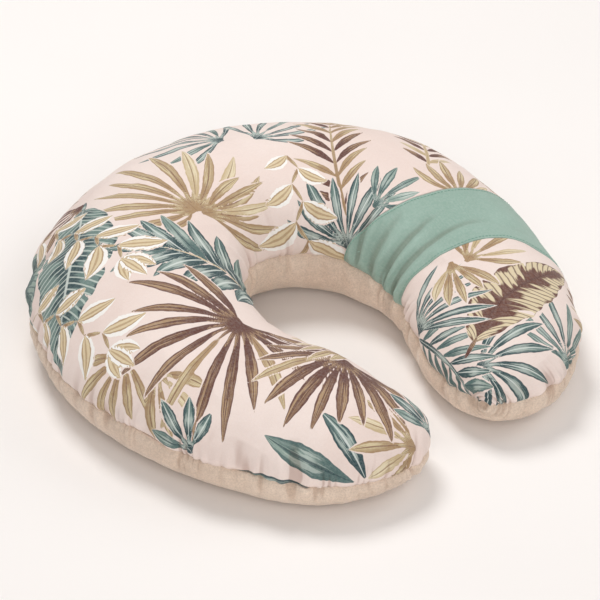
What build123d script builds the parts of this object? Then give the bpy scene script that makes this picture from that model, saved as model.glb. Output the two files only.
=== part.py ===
from build123d import *
import math
import os
import numpy as np

# Crescent-shaped nursing pillow: a zipped outer cover (printed cotton front in
# two panels joined by a plain accent band, plush back) over a fibre-filled
# inner pillow.  Millimetres, +Z up.  Origin: on the resting plane, in the
# middle of the bounding box.  The opening for the wearer's waist faces -Y.
# The shapes are built about the centre of the crown's arc and moved to the
# origin as they are saved.  "arc" is the signed length along the centreline
# from the middle of the crown, positive towards +X.  "share" is the place
# across the roll, -1 at the inner seam and 1 at the outer seam.

# ---------------------------------------------------------------- dimensions
CROWN_R = 155.0            # centreline radius of the crown
CROWN_HALF_WIDTH = 100.0   # half of the roll's width at the crown
ARM_HALF_WIDTH = 82.0      # half of the roll's width along the arms
CROWN_ARC = 202.0          # centreline length from the middle to the arm
ARC_EASE = 28.0            # length over which the curvature changes
ARM_CURVATURE = 0.00457    # 1/mm, curvature of the arms
HALF_LENGTH = 503.0        # centreline length from the middle to a tip
TIP_LENGTH = 115.0         # length over which a tip rounds off
TIP_POWER = 1.8
CROWN_RISE = 79.0          # front face's height over the seam, crown
ARM_RISE = 54.5            # the same along the arms
SEAM_IN_CROWN = 61.0       # seam heights above the resting plane
SEAM_IN_ARM = 49.0
SEAM_OUT = 44.0
SEAM_OUT_ARM = 43.0
SEAM_TIP = 37.0
FRONT_POWER = 1.9          # section shape above and below the seam
BACK_POWER = 2.7
BASE_SINK = 3.0            # how far the free shape would sink under the base
STATIONS = 12              # loft stations from the middle to a tip
SECTION_POINTS = 28
CUT_SIZE = 900.0           # plan size of cutting shapes, larger than the pillow
ORIGIN_Y = 8.8             # origin's distance from the arc centre, towards +Y

COVER_T = 1.2              # cover fabric with its backing
KNIFE_ARM_HALF_WIDTH = 88.0    # arm half width used by the seam surface
KNIFE_DEPTH = 110.0
KNIFE_GRID = 24            # grid points each way
SEAM_THREAD_R = 0.35
SEAM_THREAD_INSET = 2.6
SEAM_THREAD_ANGLE = 44.0   # zip end of the seam, degrees from +X
SEAM_THREAD_GAP = 4.0      # thread starts this far beyond that angle

BAND_ARC = 331.0           # the band's tip-side edge
BAND_WIDTH = 76.0
BAND_CUT_Y, BAND_CUT_Z = 250.0, 300.0
ROW_INSET = 1.6            # stitch rows from the band's edges
STITCH_PITCH = 4.0
STITCH_LENGTH = 3.0

# Zip along the outer seam, round the crown.  Angles are (from, to) in degrees
# from +X about +Z, radii (inner, outer) and heights are from the zip's middle.
ZIP_Z = 44.0
SLOT_HALF = 5.4            # half height of the gap between the folded edges
SLOT_RADII = (245, 262)
SLOT_ANGLES = (45.5, 134.5)
TAPE_ANGLES = (44.6, 135.4)
TAPE_RADII = (251.5, 252.1)
TAPE_HEIGHTS = (0.8, 9.5)
COIL_FROM, COIL_TO = 47.0, 131.8
COIL_R0, COIL_ROOT_R, COIL_R1 = 252.13, 252.8, 254.1
COIL_HEIGHTS = (0.62, 3.0)
COIL_PITCH = 2.4
TOP_STOP_ANGLES = (46.0, 46.9)
TOP_STOP_HEIGHTS = (0.5, 3.2)
BOTTOM_STOP_ANGLES = (132.3, 133.4)
BOTTOM_STOP_HALF = 3.4

SLIDER_ANGLE = 50.5
SLIDER_LEN, SLIDER_HALF_W = 15.0, 4.6
SLIDER_END = SLIDER_LEN / 2
PLATE_T = 1.2
INNER_PLATE_R1 = 251.2
OUTER_PLATE_R0 = 254.4
OUTER_PLATE_R1 = OUTER_PLATE_R0 + PLATE_T
POST_HALF = 0.38
FLANGE_IN = 3.4            # flange's inner height
FLANGE_R0 = TAPE_RADII[1] + 0.35
PIVOT_R = 256.6            # radius at which the pull tab's pin lies
PIN_R = 0.65
BAIL_R0, BAIL_R1 = PIVOT_R + 1.15, PIVOT_R + 2.15
BAIL_LEG = (2.8, 3.9)      # leg's reach along the zip, to each side
BAIL_HALF = 1.0
BAIL_FILLET = 0.8
TAB_LEN, TAB_HALF_W, TAB_T = 25.0, 3.6, 1.2
TAB_ARM = (1.5, TAB_HALF_W * 0.86)
TAB_FILLET = 2.4
TAB_RIBS, RIB_START, RIB_PITCH, RIB_WIDTH = 5, 13.0, 2.2, 0.9
RIB_HALF, RIB_RISE, RIB_OVERLAP = 2.5, 0.35, 0.1

LABEL_ANGLE = 39.5
LABEL_W, LABEL_H = 25.0, 34.0
LABEL_R = 256.1
LABEL_PLY = 0.4
LABEL_TOP = SEAM_OUT + 0.5

INSERT_INSET = 5.5         # outer face of the inner pillow under the cover
INSERT_T = 0.8             # inner pillow's casing
FILL_INSET = 8.0
INSERT_SEAM_Z = 38.0       # the inner pillow's flat seam
LOOP_WIDTH, LOOP_POINTS = 0.5, 260
CLOSING_FROM, CLOSING_TO, CLOSING_PITCH = 250.0, 340.0, 4.5
CLOSING_CHORD = 2.2        # arc over which a closing stitch takes its direction


# ---------------------------------------------------------------- centreline
def ease(value):
    """Smooth step from 0 to 1."""
    clipped = np.clip(value, 0.0, 1.0)
    return clipped * clipped * (3 - 2 * clipped)


def integral(values):
    """Running trapezoid integral over LINE_ARC."""
    steps = (values[1:] + values[:-1]) / 2 * np.diff(LINE_ARC)
    return np.concatenate([[0.0], np.cumsum(steps)])


LINE_ARC = np.linspace(0.0, HALF_LENGTH, 2000)
ARM_BLEND = ease((LINE_ARC - CROWN_ARC) / ARC_EASE)
LINE_TURN = integral((1 - ARM_BLEND) / CROWN_R + ARM_BLEND * ARM_CURVATURE)
LINE_X = integral(np.cos(LINE_TURN))
LINE_Y = CROWN_R - integral(np.sin(LINE_TURN))


def station(arc):
    """Centre x, y and outward direction x, y."""
    side = -1 if arc < 0 else 1
    arc = abs(arc)
    turn = float(np.interp(arc, LINE_ARC, LINE_TURN))
    return (side * float(np.interp(arc, LINE_ARC, LINE_X)),
            float(np.interp(arc, LINE_ARC, LINE_Y)),
            side * math.sin(turn), math.cos(turn))


# ---------------------------------------------------------------- roll's skin
def arm_share(arc):
    """0 at the crown, 1 where the arm has its full shape."""
    start = 0.7 * CROWN_ARC
    return float(ease((abs(arc) - start) / (HALF_LENGTH - TIP_LENGTH - start)))


def seam_heights(arc):
    """Inner and outer seam heights."""
    arm = arm_share(arc)
    way = abs(arc) / HALF_LENGTH
    seam_out = float(np.interp(way, [0, 0.3, 0.62, 1.0],
                               [SEAM_OUT, SEAM_OUT, SEAM_OUT_ARM, SEAM_TIP]))
    tip = float(ease((way - 0.75) / 0.25))
    seam_in = (SEAM_IN_CROWN * (1 - arm) + SEAM_IN_ARM * arm) * (1 - tip) + SEAM_TIP * tip
    return seam_in, seam_out


def seam_height(arc, share):
    """Seam surface height at a share of the width."""
    seam_in, seam_out = seam_heights(arc)
    return seam_in + (seam_out - seam_in) * (share + 1) / 2


def roll_size(arc, inset):
    """Half width, front rise and tip factor (1 along the roll, 0 at the tip)."""
    arm = arm_share(arc)
    tip_way = (abs(arc) - (HALF_LENGTH - inset - TIP_LENGTH)) / TIP_LENGTH
    tip_way = min(max(tip_way, 0.0), 1.0)
    taper = max(1 - tip_way ** TIP_POWER, 0.0) ** (1 / TIP_POWER)
    half_width = (CROWN_HALF_WIDTH * (1 - arm) + ARM_HALF_WIDTH * arm - inset) * taper
    rise = (CROWN_RISE * (1 - arm) + ARM_RISE * arm - inset) * taper ** 0.8
    return half_width, rise, taper


def surface_point(arc, share, inset=0.0, front=True):
    """Point of the skin, moved in by inset, above or below the seam."""
    x, y, out_x, out_y = station(arc)
    half_width, rise, taper = roll_size(arc, inset)
    z = seam_height(arc, share)
    power = FRONT_POWER if front else BACK_POWER
    bulge = max(1 - abs(share) ** power, 0.0) ** (1 / power)
    if front:
        z = z + rise * bulge
    else:
        z = z - (z + BASE_SINK - inset) * taper ** 0.6 * bulge
    return Vector(x + out_x * half_width * share, y + out_y * half_width * share, z)


def section(arc, inset):
    """Closed spline across the roll."""
    points = []
    for i in range(SECTION_POINTS):
        angle = math.pi - 2 * math.pi * i / SECTION_POINTS
        cosine = math.cos(angle)
        front = math.sin(angle) >= -1e-9
        power = FRONT_POWER if front else BACK_POWER
        share = math.copysign(abs(cosine) ** (2 / power), cosine)
        points.append(surface_point(arc, share, inset, front))
    return Wire([Edge.make_spline(points, periodic=True)])


def station_list(inset):
    """Loft stations from tip to tip, closer together towards the tips."""
    half = np.sin(np.linspace(0, 1, STATIONS) * math.pi / 2 * 0.985) * (HALF_LENGTH - inset)
    return [float(v) for v in list(-half[::-1]) + list(half[1:])]


def body(inset):
    """The whole crescent as one solid, its skin moved in by inset, flat at the base."""
    solid = Solid.make_loft([section(arc, inset) for arc in station_list(inset)])
    return solid - Pos(0, 0, -50 + inset) * Box(CUT_SIZE, CUT_SIZE, 100)


# ---------------------------------------------------------------- helpers
def middle(span):
    return (span[0] + span[1]) / 2


def size(span):
    return span[1] - span[0]


def on_side(side, span):
    """A span of positive values, or its mirror image when side is -1."""
    return sorted((side * span[0], side * span[1]))


def ring(radii, heights, angles):
    """Part of a ring about the crown's axis, heights from the zip's middle."""
    profile = Plane.XZ * Rectangle(size(radii), size(heights))
    profile = Pos(middle(radii), 0, ZIP_Z + middle(heights)) * profile
    return Rot(0, 0, angles[0]) * revolve(profile, Axis.Z, size(angles))


def crown_frame(angle, z):
    """Axes on the crown's axis: x counterclockwise along the zip, y inward, z up."""
    turn = math.radians(angle)
    tangent = Vector(-math.sin(turn), math.cos(turn), 0)
    return Plane(origin=(0, 0, z), x_dir=tangent, z_dir=Vector(0, 0, 1))


def frame_box(frame, along, radii, heights):
    """A box in a crown frame from three spans."""
    place = Pos(middle(along), -middle(radii), middle(heights))
    return frame * (place * Box(size(along), size(radii), size(heights)))


def outline_face(points):
    return make_face(Polyline(points, close=True).edges())


def stitch(start, end, normal, width, height, gap):
    """One stitch from start towards end, lying off the fabric by gap."""
    direction = (end - start).normalized()
    normal = (normal - direction * normal.dot(direction)).normalized()
    origin = (start + end) * 0.5 + normal * (gap + height / 2)
    return Plane(origin=origin, x_dir=direction, z_dir=normal) * Box(STITCH_LENGTH, width, height)


def largest_solid(shape):
    return max(shape.solids(), key=lambda s: s.volume)


def save(shape, name):
    shape = Pos(0, -ORIGIN_Y, 0) * shape
    shape.label = name
    export_step(shape, f"parts/{name}.step")


# ---------------------------------------------------------------- cover panels
def plan_seam_height(x, y):
    """Height of the seam surface over a plan position."""
    nearest = int(np.argmin((LINE_X - abs(x)) ** 2 + (LINE_Y - y) ** 2))
    arc = float(LINE_ARC[nearest])
    out_x, out_y = math.sin(LINE_TURN[nearest]), math.cos(LINE_TURN[nearest])
    half_width = CROWN_HALF_WIDTH if arc < CROWN_ARC else KNIFE_ARM_HALF_WIDTH
    share = ((abs(x) - LINE_X[nearest]) * out_x + (y - LINE_Y[nearest]) * out_y) / half_width
    return seam_height(arc, max(min(share, 1.3), -1.2))


def seam_knife():
    """Everything under the smooth seam surface, so that it parts front from back."""
    xs = np.linspace(-285, 285, KNIFE_GRID)
    ys = np.linspace(-275, 295, KNIFE_GRID)
    z = np.array([[plan_seam_height(x, y) for y in ys] for x in xs])
    for _ in range(2):                        # smooth with the four neighbours
        e = np.pad(z, 1, mode="edge")
        z = (e[1:-1, 1:-1] * 4 + e[:-2, 1:-1] + e[2:, 1:-1] + e[1:-1, :-2] + e[1:-1, 2:]) / 8
    points = [[Vector(float(x), float(y), float(z[i][j])) for j, y in enumerate(ys)]
              for i, x in enumerate(xs)]
    top = Face.make_surface_from_array_of_points(points, tol=0.05, min_deg=3, max_deg=5)
    return Solid.extrude(top, Vector(0, 0, -KNIFE_DEPTH))


def cover_shell():
    """The cover in one piece, with the slot for the zip."""
    shell = largest_solid(body(0.0) - body(COVER_T))
    return largest_solid(shell - ring(SLOT_RADII, (-SLOT_HALF, SLOT_HALF), SLOT_ANGLES))


# The band lies between two upright parallel planes across the right (+X) arm.
BAND_X, BAND_Y, BAND_OUT_X, BAND_OUT_Y = station(BAND_ARC)
BAND_ORIGIN = Vector(BAND_X, BAND_Y, 0)
BAND_OUT = Vector(BAND_OUT_X, BAND_OUT_Y, 0)
TO_TIP = Vector(BAND_OUT_Y, -BAND_OUT_X, 0)


def band_box():
    frame = Plane(origin=BAND_ORIGIN, x_dir=TO_TIP, z_dir=(0, 0, 1))
    return frame * (Pos(-BAND_WIDTH / 2, 0, 100) * Box(BAND_WIDTH, BAND_CUT_Y, BAND_CUT_Z))


def save_cover():
    knife = seam_knife()
    cover = cover_shell()
    save(largest_solid(cover & knife), "back_panel")
    front = largest_solid(cover - knife)
    cutter = band_box()
    save(largest_solid(front & cutter), "accent_band")
    panels = sorted((front - cutter).solids(), key=lambda s: -s.volume)
    save(panels[0], "front_panel_long")
    save(panels[1], "front_panel_short")


# ---------------------------------------------------------------- topstitching
ARM_STATIONS = [(arc, station(arc)) for arc in np.linspace(170, 400, 231)]


def skin_place(x, y):
    """Arc and share of a plan position on the right arm, at the nearest station."""
    def distance(entry):
        centre_x, centre_y, out_x, out_y = entry[1]
        return abs((x - centre_x) * out_y - (y - centre_y) * out_x)

    arc, (centre_x, centre_y, out_x, out_y) = min(ARM_STATIONS, key=distance)
    across = (x - centre_x) * out_x + (y - centre_y) * out_y
    return arc, across / roll_size(arc, 0)[0]


def band_line(offset):
    """Skin points and normals across the arm, offset from the band's tip-side edge."""
    line = []
    for across in np.arange(-150, 150, 0.5):
        plan = BAND_ORIGIN - TO_TIP * offset + BAND_OUT * float(across)
        arc, share = skin_place(plan.X, plan.Y)
        if abs(share) < 0.985:
            point = surface_point(arc, share)
            further = surface_point(arc + 1, share)
            outer = surface_point(arc, min(share + 0.004, 0.999))
            normal = (outer - point).cross(further - point)
            normal = normal if normal.Z > 0 else normal * -1
            line.append((Vector(plan.X, plan.Y, point.Z), normal.normalized()))
    return line


def band_row(offset):
    """Stitches along one band line."""
    line = band_line(offset)
    stitches, run, start = [], 0.0, 0
    for i in range(1, len(line)):
        run += (line[i][0] - line[i - 1][0]).length
        if run >= STITCH_PITCH:
            (point0, normal0), (point1, normal1) = line[start], line[i]
            normal = (normal0 + normal1).normalized()
            stitches.append(stitch(point0, point1, normal, width=0.5, height=0.35, gap=0.45))
            run, start = 0.0, i
    return stitches


# ---------------------------------------------------------------- cover's seam
def nose(side, inset):
    """Seam points round a tip, from its outer side to its inner side."""
    points = []
    for k in range(-5, 6):
        angle = math.radians(18 * k)
        share = -math.copysign(abs(math.sin(angle)) ** (2 / TIP_POWER), angle)
        left = abs(math.cos(angle)) ** (2 / TIP_POWER)
        arc = HALF_LENGTH - inset - TIP_LENGTH * (1 - left)
        x, y, out_x, out_y = station(side * arc)
        across = (ARM_HALF_WIDTH - inset) * share
        points.append(Vector(x + out_x * across, y + out_y * across, seam_height(arc, share)))
    return points


def perimeter_thread():
    """Thread inside the seam, from one zip end round both arms to the other."""
    inset = SEAM_THREAD_INSET
    start = math.radians(90 - SEAM_THREAD_ANGLE) * CROWN_R + SEAM_THREAD_GAP
    end = HALF_LENGTH - inset - TIP_LENGTH

    def seam_points(arcs, share):
        return [surface_point(float(arc), share, inset) for arc in arcs]

    outer_count = int((end - start) / 26) + 2
    points = seam_points(np.linspace(start, end, outer_count)[:-1], 1.0)
    points += nose(1, inset)
    points += seam_points(np.linspace(end, -end, int(end / 15) + 2)[1:-1], -1.0)
    points += nose(-1, inset)[::-1]
    points += seam_points(np.linspace(-end, -start, outer_count)[1:], 1.0)
    edge = Edge.make_spline(points)
    profile = Plane(origin=edge @ 0, z_dir=edge % 0) * Circle(SEAM_THREAD_R)
    return largest_solid(sweep(profile, path=Wire([edge])))


# ---------------------------------------------------------------- zip
def coil(heights, phase):
    """One row of coil teeth as a comb that follows the zip's arc."""
    step = math.degrees(COIL_PITCH / COIL_R1)
    count = int((COIL_TO - COIL_FROM) / step) - 1

    def polar(radius, angle):
        turn = math.radians(angle)
        return Vector(radius * math.cos(turn), radius * math.sin(turn), 0)

    points = []
    for i in range(count):
        angle = COIL_FROM + (i + phase) * step
        points += [polar(COIL_ROOT_R, angle + 0.05 * step), polar(COIL_R1, angle + 0.2 * step),
                   polar(COIL_R1, angle + 0.5 * step), polar(COIL_ROOT_R, angle + 0.65 * step)]
    points += [polar(COIL_R0, COIL_FROM + (count + phase) * step * way)
               for way in np.linspace(1, 0, 50)]
    comb = extrude(outline_face(points), size(heights), dir=(0, 0, 1))
    return Pos(0, 0, ZIP_Z + heights[0]) * comb


def top_stop(side):
    return largest_solid(ring((COIL_R0, COIL_R1 + 0.3), on_side(side, TOP_STOP_HEIGHTS),
                              TOP_STOP_ANGLES))


def bottom_stop():
    return ring((COIL_R0, COIL_R1 + 0.4), (-BOTTOM_STOP_HALF, BOTTOM_STOP_HALF),
                BOTTOM_STOP_ANGLES)


SLIDER_FRAME = crown_frame(SLIDER_ANGLE, ZIP_Z)


def slider_box(along, radii, heights):
    return frame_box(SLIDER_FRAME, along, radii, heights)


def slider_plate(inner_r):
    """A plate, wider at its end towards the top stops (local -x)."""
    # place along the zip, half width
    edge = [(-SLIDER_END, SLIDER_HALF_W * 0.72), (-SLIDER_END + 3.0, SLIDER_HALF_W),
            (2.0, SLIDER_HALF_W), (SLIDER_END - 1.0, SLIDER_HALF_W * 0.86),
            (SLIDER_END, SLIDER_HALF_W * 0.6)]
    points = [Vector(x, 0, -z) for x, z in edge] + [Vector(x, 0, z) for x, z in edge[::-1]]
    plate = extrude(outline_face(points), PLATE_T, dir=(0, -1, 0))
    return SLIDER_FRAME * (Pos(0, -inner_r, 0) * plate)


def slider_body():
    """Two plates joined by the wedge post, with edges that wrap the coils."""
    slider = slider_plate(OUTER_PLATE_R0)
    slider += slider_plate(INNER_PLATE_R1 - PLATE_T)
    slider += slider_box((-SLIDER_END + 1.0, -SLIDER_END + 4.2),
                         (INNER_PLATE_R1 - 0.4, OUTER_PLATE_R0 + 0.4), (-POST_HALF, POST_HALF))
    for side in (1, -1):
        slider += slider_box((-SLIDER_END + 3.0, 2.0), (FLANGE_R0, OUTER_PLATE_R0 + 0.3),
                             on_side(side, (FLANGE_IN, SLIDER_HALF_W)))
    return largest_solid(slider)


def slider_bail():
    """The arch on the slider that holds the pull tab."""
    heights = (-BAIL_HALF, BAIL_HALF)
    bail = slider_box((-BAIL_LEG[1], BAIL_LEG[1]), (BAIL_R0, BAIL_R1), heights)
    for side in (-1, 1):
        bail += slider_box(on_side(side, BAIL_LEG), (OUTER_PLATE_R1 + 0.02, BAIL_R1), heights)
    outermost = bail.edges().filter_by(Axis.Z).sort_by(
        lambda e: -(e.center().X ** 2 + e.center().Y ** 2))[:2]
    return largest_solid(fillet(outermost, BAIL_FILLET))


def pull_tab():
    """A pin under the bail, two side arms and a grip with ribs."""
    outer_r = PIVOT_R + TAB_T / 2
    radii = (PIVOT_R - TAB_T / 2, outer_r)
    tab = slider_box((5.2, TAB_LEN), radii, (-TAB_HALF_W, TAB_HALF_W))
    for side in (1, -1):
        tab += slider_box((-0.6, 6.5), radii, on_side(side, TAB_ARM))
    tab += SLIDER_FRAME * (Pos(0, -PIVOT_R, 0) * Cylinder(PIN_R, 2 * TAB_ARM[1]))
    for k in range(TAB_RIBS):
        start = RIB_START + RIB_PITCH * k
        tab += slider_box((start, start + RIB_WIDTH), (outer_r - RIB_OVERLAP, outer_r + RIB_RISE),
                          (-RIB_HALF, RIB_HALF))
    free_end = (SLIDER_FRAME * Pos(TAB_LEN, -PIVOT_R, 0)).position
    corners = tab.edges().filter_by(lambda e: abs(e.length - TAB_T) < 1e-3).sort_by(
        lambda e: (e.center() - free_end).length)[:2]
    return largest_solid(fillet(corners, TAB_FILLET))


def care_label():
    """Two plies hanging outside the cover, beyond the zip's right end."""
    frame = crown_frame(LABEL_ANGLE, 0.0)
    plies = [frame_box(frame, (-LABEL_W / 2, LABEL_W / 2), (inner_r, inner_r + LABEL_PLY),
                       (SEAM_OUT - LABEL_H, LABEL_TOP))
             for inner_r in (LABEL_R, LABEL_R + LABEL_PLY)]
    return largest_solid(plies[0] + plies[1])


# ---------------------------------------------------------------- inner pillow
def save_casing():
    casing = largest_solid(body(INSERT_INSET) - body(INSERT_INSET + INSERT_T))
    under = Pos(0, 0, INSERT_SEAM_Z - 100) * Box(CUT_SIZE, CUT_SIZE, 200)
    save(largest_solid(casing - under), "insert_casing_front")
    save(largest_solid(casing & under), "insert_casing_back")


def insert_thread():
    """A fine closed loop, straight between its stitch holes, halfway between
    the casing's inner face and the filling."""
    inset = (INSERT_INSET + INSERT_T + FILL_INSET) / 2
    slices = Pos(0, 0, INSERT_SEAM_Z) * Rectangle(CUT_SIZE, CUT_SIZE) & body(inset)
    outline = slices.faces().sort_by(Axis.Z)[-1].outer_wire()
    centres = [outline.position_at(i / LOOP_POINTS) for i in range(LOOP_POINTS)]
    rims = []
    for offset in (LOOP_WIDTH / 2, -LOOP_WIDTH / 2):
        rim = []
        for i, centre in enumerate(centres):
            chord = centres[(i + 1) % LOOP_POINTS] - centres[i - 1]
            normal = Vector(chord.Y, -chord.X, 0).normalized()
            rim.append(Vector(centre.X, centre.Y, 0) + normal * offset)
        rims.append(outline_face(rim))
    big, small = sorted(rims, key=lambda f: -f.area)
    loop = extrude(big - small, LOOP_WIDTH, dir=(0, 0, 1))
    return largest_solid(Pos(0, 0, INSERT_SEAM_Z - LOOP_WIDTH / 2) * loop)


def closing_stitches():
    """Stitches along the outer side of the inner pillow's right arm."""
    stitches = []
    for arc in np.arange(CLOSING_FROM, CLOSING_TO, CLOSING_PITCH):
        start = surface_point(float(arc), 1.0, INSERT_INSET)
        end = surface_point(float(arc) + CLOSING_CHORD, 1.0, INSERT_INSET)
        outward = Vector(*station(float(arc))[2:], 0)
        stitches.append(stitch(start, end, outward, width=0.6, height=0.4, gap=0.8))
    return stitches


# ---------------------------------------------------------------- pieces
os.makedirs("parts", exist_ok=True)
save_cover()
save(Compound(children=band_row(ROW_INSET) + band_row(BAND_WIDTH - ROW_INSET)),
     "band_topstitching")
save(perimeter_thread(), "perimeter_seam_thread")
for side, name, phase in ((1, "upper", 0.5), (-1, "lower", 0.0)):
    save(ring(TAPE_RADII, on_side(side, TAPE_HEIGHTS), TAPE_ANGLES), f"zip_tape_{name}")
    save(coil(on_side(side, COIL_HEIGHTS), phase), f"zip_coil_{name}")
save(Compound(children=[top_stop(1), top_stop(-1)]), "zip_top_stops")
save(bottom_stop(), "zip_bottom_stop")
save(slider_body(), "zip_slider_body")
save(slider_bail(), "zip_slider_bail")
save(pull_tab(), "zip_pull_tab")
save(care_label(), "care_label")
save_casing()
save(insert_thread(), "insert_seam_thread")
save(body(FILL_INSET), "insert_fibre_fill")
save(Compound(children=closing_stitches()), "insert_closing_stitches")
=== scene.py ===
"""U-shaped body pillow in a printed cotton cover with a plain accent band.

It lies on the floor with the crown towards +Y and two arms running towards -Y.
The printed front faces up (+Z), the velour back lies on the floor, and the zip
is in the outer seam of the crown.  Sizes are in mm until a mesh is made.

Places on the cloth are given as (s, v): s runs along the centreline from the
middle of the crown, negative on the -X arm; v runs across a panel from the
inner seam (0) to the outer seam (1).
"""
import math
from types import SimpleNamespace

import bmesh
import bpy
import numpy as np
from mathutils import Matrix, Vector


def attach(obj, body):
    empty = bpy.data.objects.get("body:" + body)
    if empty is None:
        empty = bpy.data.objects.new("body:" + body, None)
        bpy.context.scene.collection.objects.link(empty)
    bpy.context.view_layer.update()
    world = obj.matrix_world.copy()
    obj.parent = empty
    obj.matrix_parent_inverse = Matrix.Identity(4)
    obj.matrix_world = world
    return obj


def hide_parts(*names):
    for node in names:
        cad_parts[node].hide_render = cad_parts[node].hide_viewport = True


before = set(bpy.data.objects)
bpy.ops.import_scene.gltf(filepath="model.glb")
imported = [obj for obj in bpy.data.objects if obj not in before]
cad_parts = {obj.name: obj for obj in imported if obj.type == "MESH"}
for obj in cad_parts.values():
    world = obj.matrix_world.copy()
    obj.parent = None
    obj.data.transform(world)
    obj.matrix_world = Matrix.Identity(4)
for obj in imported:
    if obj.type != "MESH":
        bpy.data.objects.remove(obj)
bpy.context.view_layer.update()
MM = 0.001
COARSEN = 1.0

# ------------------------------------------------------------------ driving sizes
CENTRE_Y = -8.8            # centre of the crown's arc
CROWN_RADIUS = 155.0       # of the centreline
CROWN_HALF_WIDTH = 100.0
CROWN_LOFT = 78.6          # height of the front over the seams
CROWN_INNER_Z = 61.5       # seam heights
CROWN_OUTER_Z = 44.0
BEND_BLEND = 28.0          # length over which the crown's bend eases into an arm's
TIP_POWER = 1.8            # superellipse exponents: tip outline, front and back sections
FRONT_POWER = 1.9
BACK_POWER = 2.7
SINK = 3.0                 # how far the back's section would reach below the floor
ZIP_START, ZIP_END = 45.5, 134.5  # degrees about the crown's centre, from +X
ZIP_END_S = 121.0          # where the zip's ends are sewn in, either side of the middle
ZIP_GAP = 5.9              # cloth left off each panel along the zip
TAPE_OVERRUN = 0.9         # degrees of zip tape past each end of the opening
BAND_START, BAND_END = 262.0, 338.0

ARMS = {
    -1: SimpleNamespace(bend_end=193.5, curvature=0.00473, length=508.0, half_width=83.4,
                        tip_length=113.2, loft=54.5, inner_z=49.8, outer_z=43.1, tip_z=33.8),
    1: SimpleNamespace(bend_end=209.5, curvature=0.00441, length=498.5, half_width=81.0,
                       tip_length=116.5, loft=54.7, inner_z=48.0, outer_z=43.1, tip_z=39.6),
}


def ease(x):
    x = np.clip(x, 0.0, 1.0)
    return x * x * (3 - 2 * x)


def bell(x, width):
    return np.exp(-(x / width) ** 2)


def normalised(vectors):
    vectors = np.asarray(vectors, float)
    return vectors / np.maximum(np.linalg.norm(vectors, axis=-1, keepdims=True), 1e-9)


# ------------------------------------------------------------------ smooth skin
def trace_arm(arm):
    """Run the centreline of one half by adding up its curvature."""
    stations = np.linspace(0, arm.length, 3000)

    def running(values):
        steps = (values[1:] + values[:-1]) / 2 * np.diff(stations)
        return np.concatenate([[0], np.cumsum(steps)])

    straight = ease((stations - arm.bend_end) / BEND_BLEND)
    turn = running((1 - straight) / CROWN_RADIUS + straight * arm.curvature)
    arm.stations, arm.turn = stations, turn
    arm.x = running(np.cos(turn))
    arm.y = CROWN_RADIUS - running(np.sin(turn))


for arm in ARMS.values():
    trace_arm(arm)


def sign_of(s):
    return np.where(np.asarray(s) < 0, -1.0, 1.0)


def arm_end(s, margin):
    """Length of the arm that s is on, less a margin."""
    return np.where(s < 0, ARMS[-1].length, ARMS[1].length) - margin


def per_side(s, measure):
    s = np.asarray(s, float)
    pairs = zip(measure(ARMS[-1], np.abs(s)), measure(ARMS[1], np.abs(s)))
    return [np.where(s < 0, a, b) for a, b in pairs]


def centre(s):
    """Centreline x, y and the x, y of its sideways unit vector, inner to outer."""
    def measure(arm, q):
        return [np.interp(q, arm.stations, table) for table in (arm.x, arm.y, arm.turn)]
    x, y, turn = per_side(s, measure)
    side = sign_of(s)
    return side * x, y, side * np.sin(turn), np.cos(turn)


def profile(s):
    """Half width, loft, inner and outer seam height, and tip narrowing (1 to 0)."""
    def measure(arm, q):
        shrink_start = 0.7 * arm.bend_end
        tip_start = arm.length - arm.tip_length
        k = ease((q - shrink_start) / (tip_start - shrink_start))
        t = np.clip((q - tip_start) / arm.tip_length, 0, 1)
        narrow = np.maximum(1 - t ** TIP_POWER, 0.0) ** (1 / TIP_POWER)
        half_width = CROWN_HALF_WIDTH * (1 - k) + arm.half_width * k
        loft = (CROWN_LOFT * (1 - k) + arm.loft * k) * narrow ** 0.8
        # the outer seam falls to the arm's height, then to the tip's
        u = q / arm.length
        to_arm = CROWN_OUTER_Z + (arm.outer_z - CROWN_OUTER_Z) * (u - 0.3) / 0.32
        to_tip = arm.outer_z + (arm.tip_z - arm.outer_z) * ease((u - 0.62) / 0.38)
        outer = np.where(u < 0.3, CROWN_OUTER_Z, np.where(u < 0.62, to_arm, to_tip))
        b = ease((u - 0.75) / 0.25)
        inner = (CROWN_INNER_Z * (1 - k) + arm.inner_z * k) * (1 - b) + arm.tip_z * b
        return half_width * narrow, loft, inner, outer, narrow
    return per_side(s, measure)


def superellipse(angle, power):
    c, z = np.cos(angle), np.sin(angle)
    return np.sign(c) * np.abs(c) ** (2 / power), np.abs(z) ** (2 / power)


def arc_table(half_width, height, power):
    """Share of the arc's length against angle, for a typical section."""
    angle = np.linspace(math.pi, 0, 1441)
    x, z = superellipse(angle, power)
    steps = np.hypot(np.diff(x * half_width), np.diff(z * height))
    length = np.concatenate([[0], np.cumsum(steps)])
    return length / length[-1], angle, power


SECTION = {True: arc_table(90, 66, FRONT_POWER), False: arc_table(90, 48, BACK_POWER)}


def section(v, top):
    """Section coordinates (-1..1 across, 0..1 up or down) at arc share v."""
    shares, angles, power = SECTION[top]
    return superellipse(np.interp(v, shares, angles), power)


def perimeter(s, top):
    """Length across a panel, seam to seam."""
    half_width, loft, inner, outer, narrow = profile(s)
    if top:
        return math.pi * np.sqrt((half_width * half_width + loft * loft) / 2) * 1.01
    return 2 * half_width + 1.25 * ((inner + outer) / 2 * narrow ** 0.6)


def base(s, v, top):
    cx, cy, nx, ny = centre(s)
    half_width, loft, inner, outer, narrow = profile(s)
    x, z = section(v, top)
    seam = inner + (outer - inner) * (x + 1) / 2
    if top:
        height = seam + loft * z
    else:
        height = seam - (seam + SINK) * narrow ** 0.6 * z
    return np.stack([cx + nx * half_width * x, cy + ny * half_width * x + CENTRE_Y, height], -1)


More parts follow.
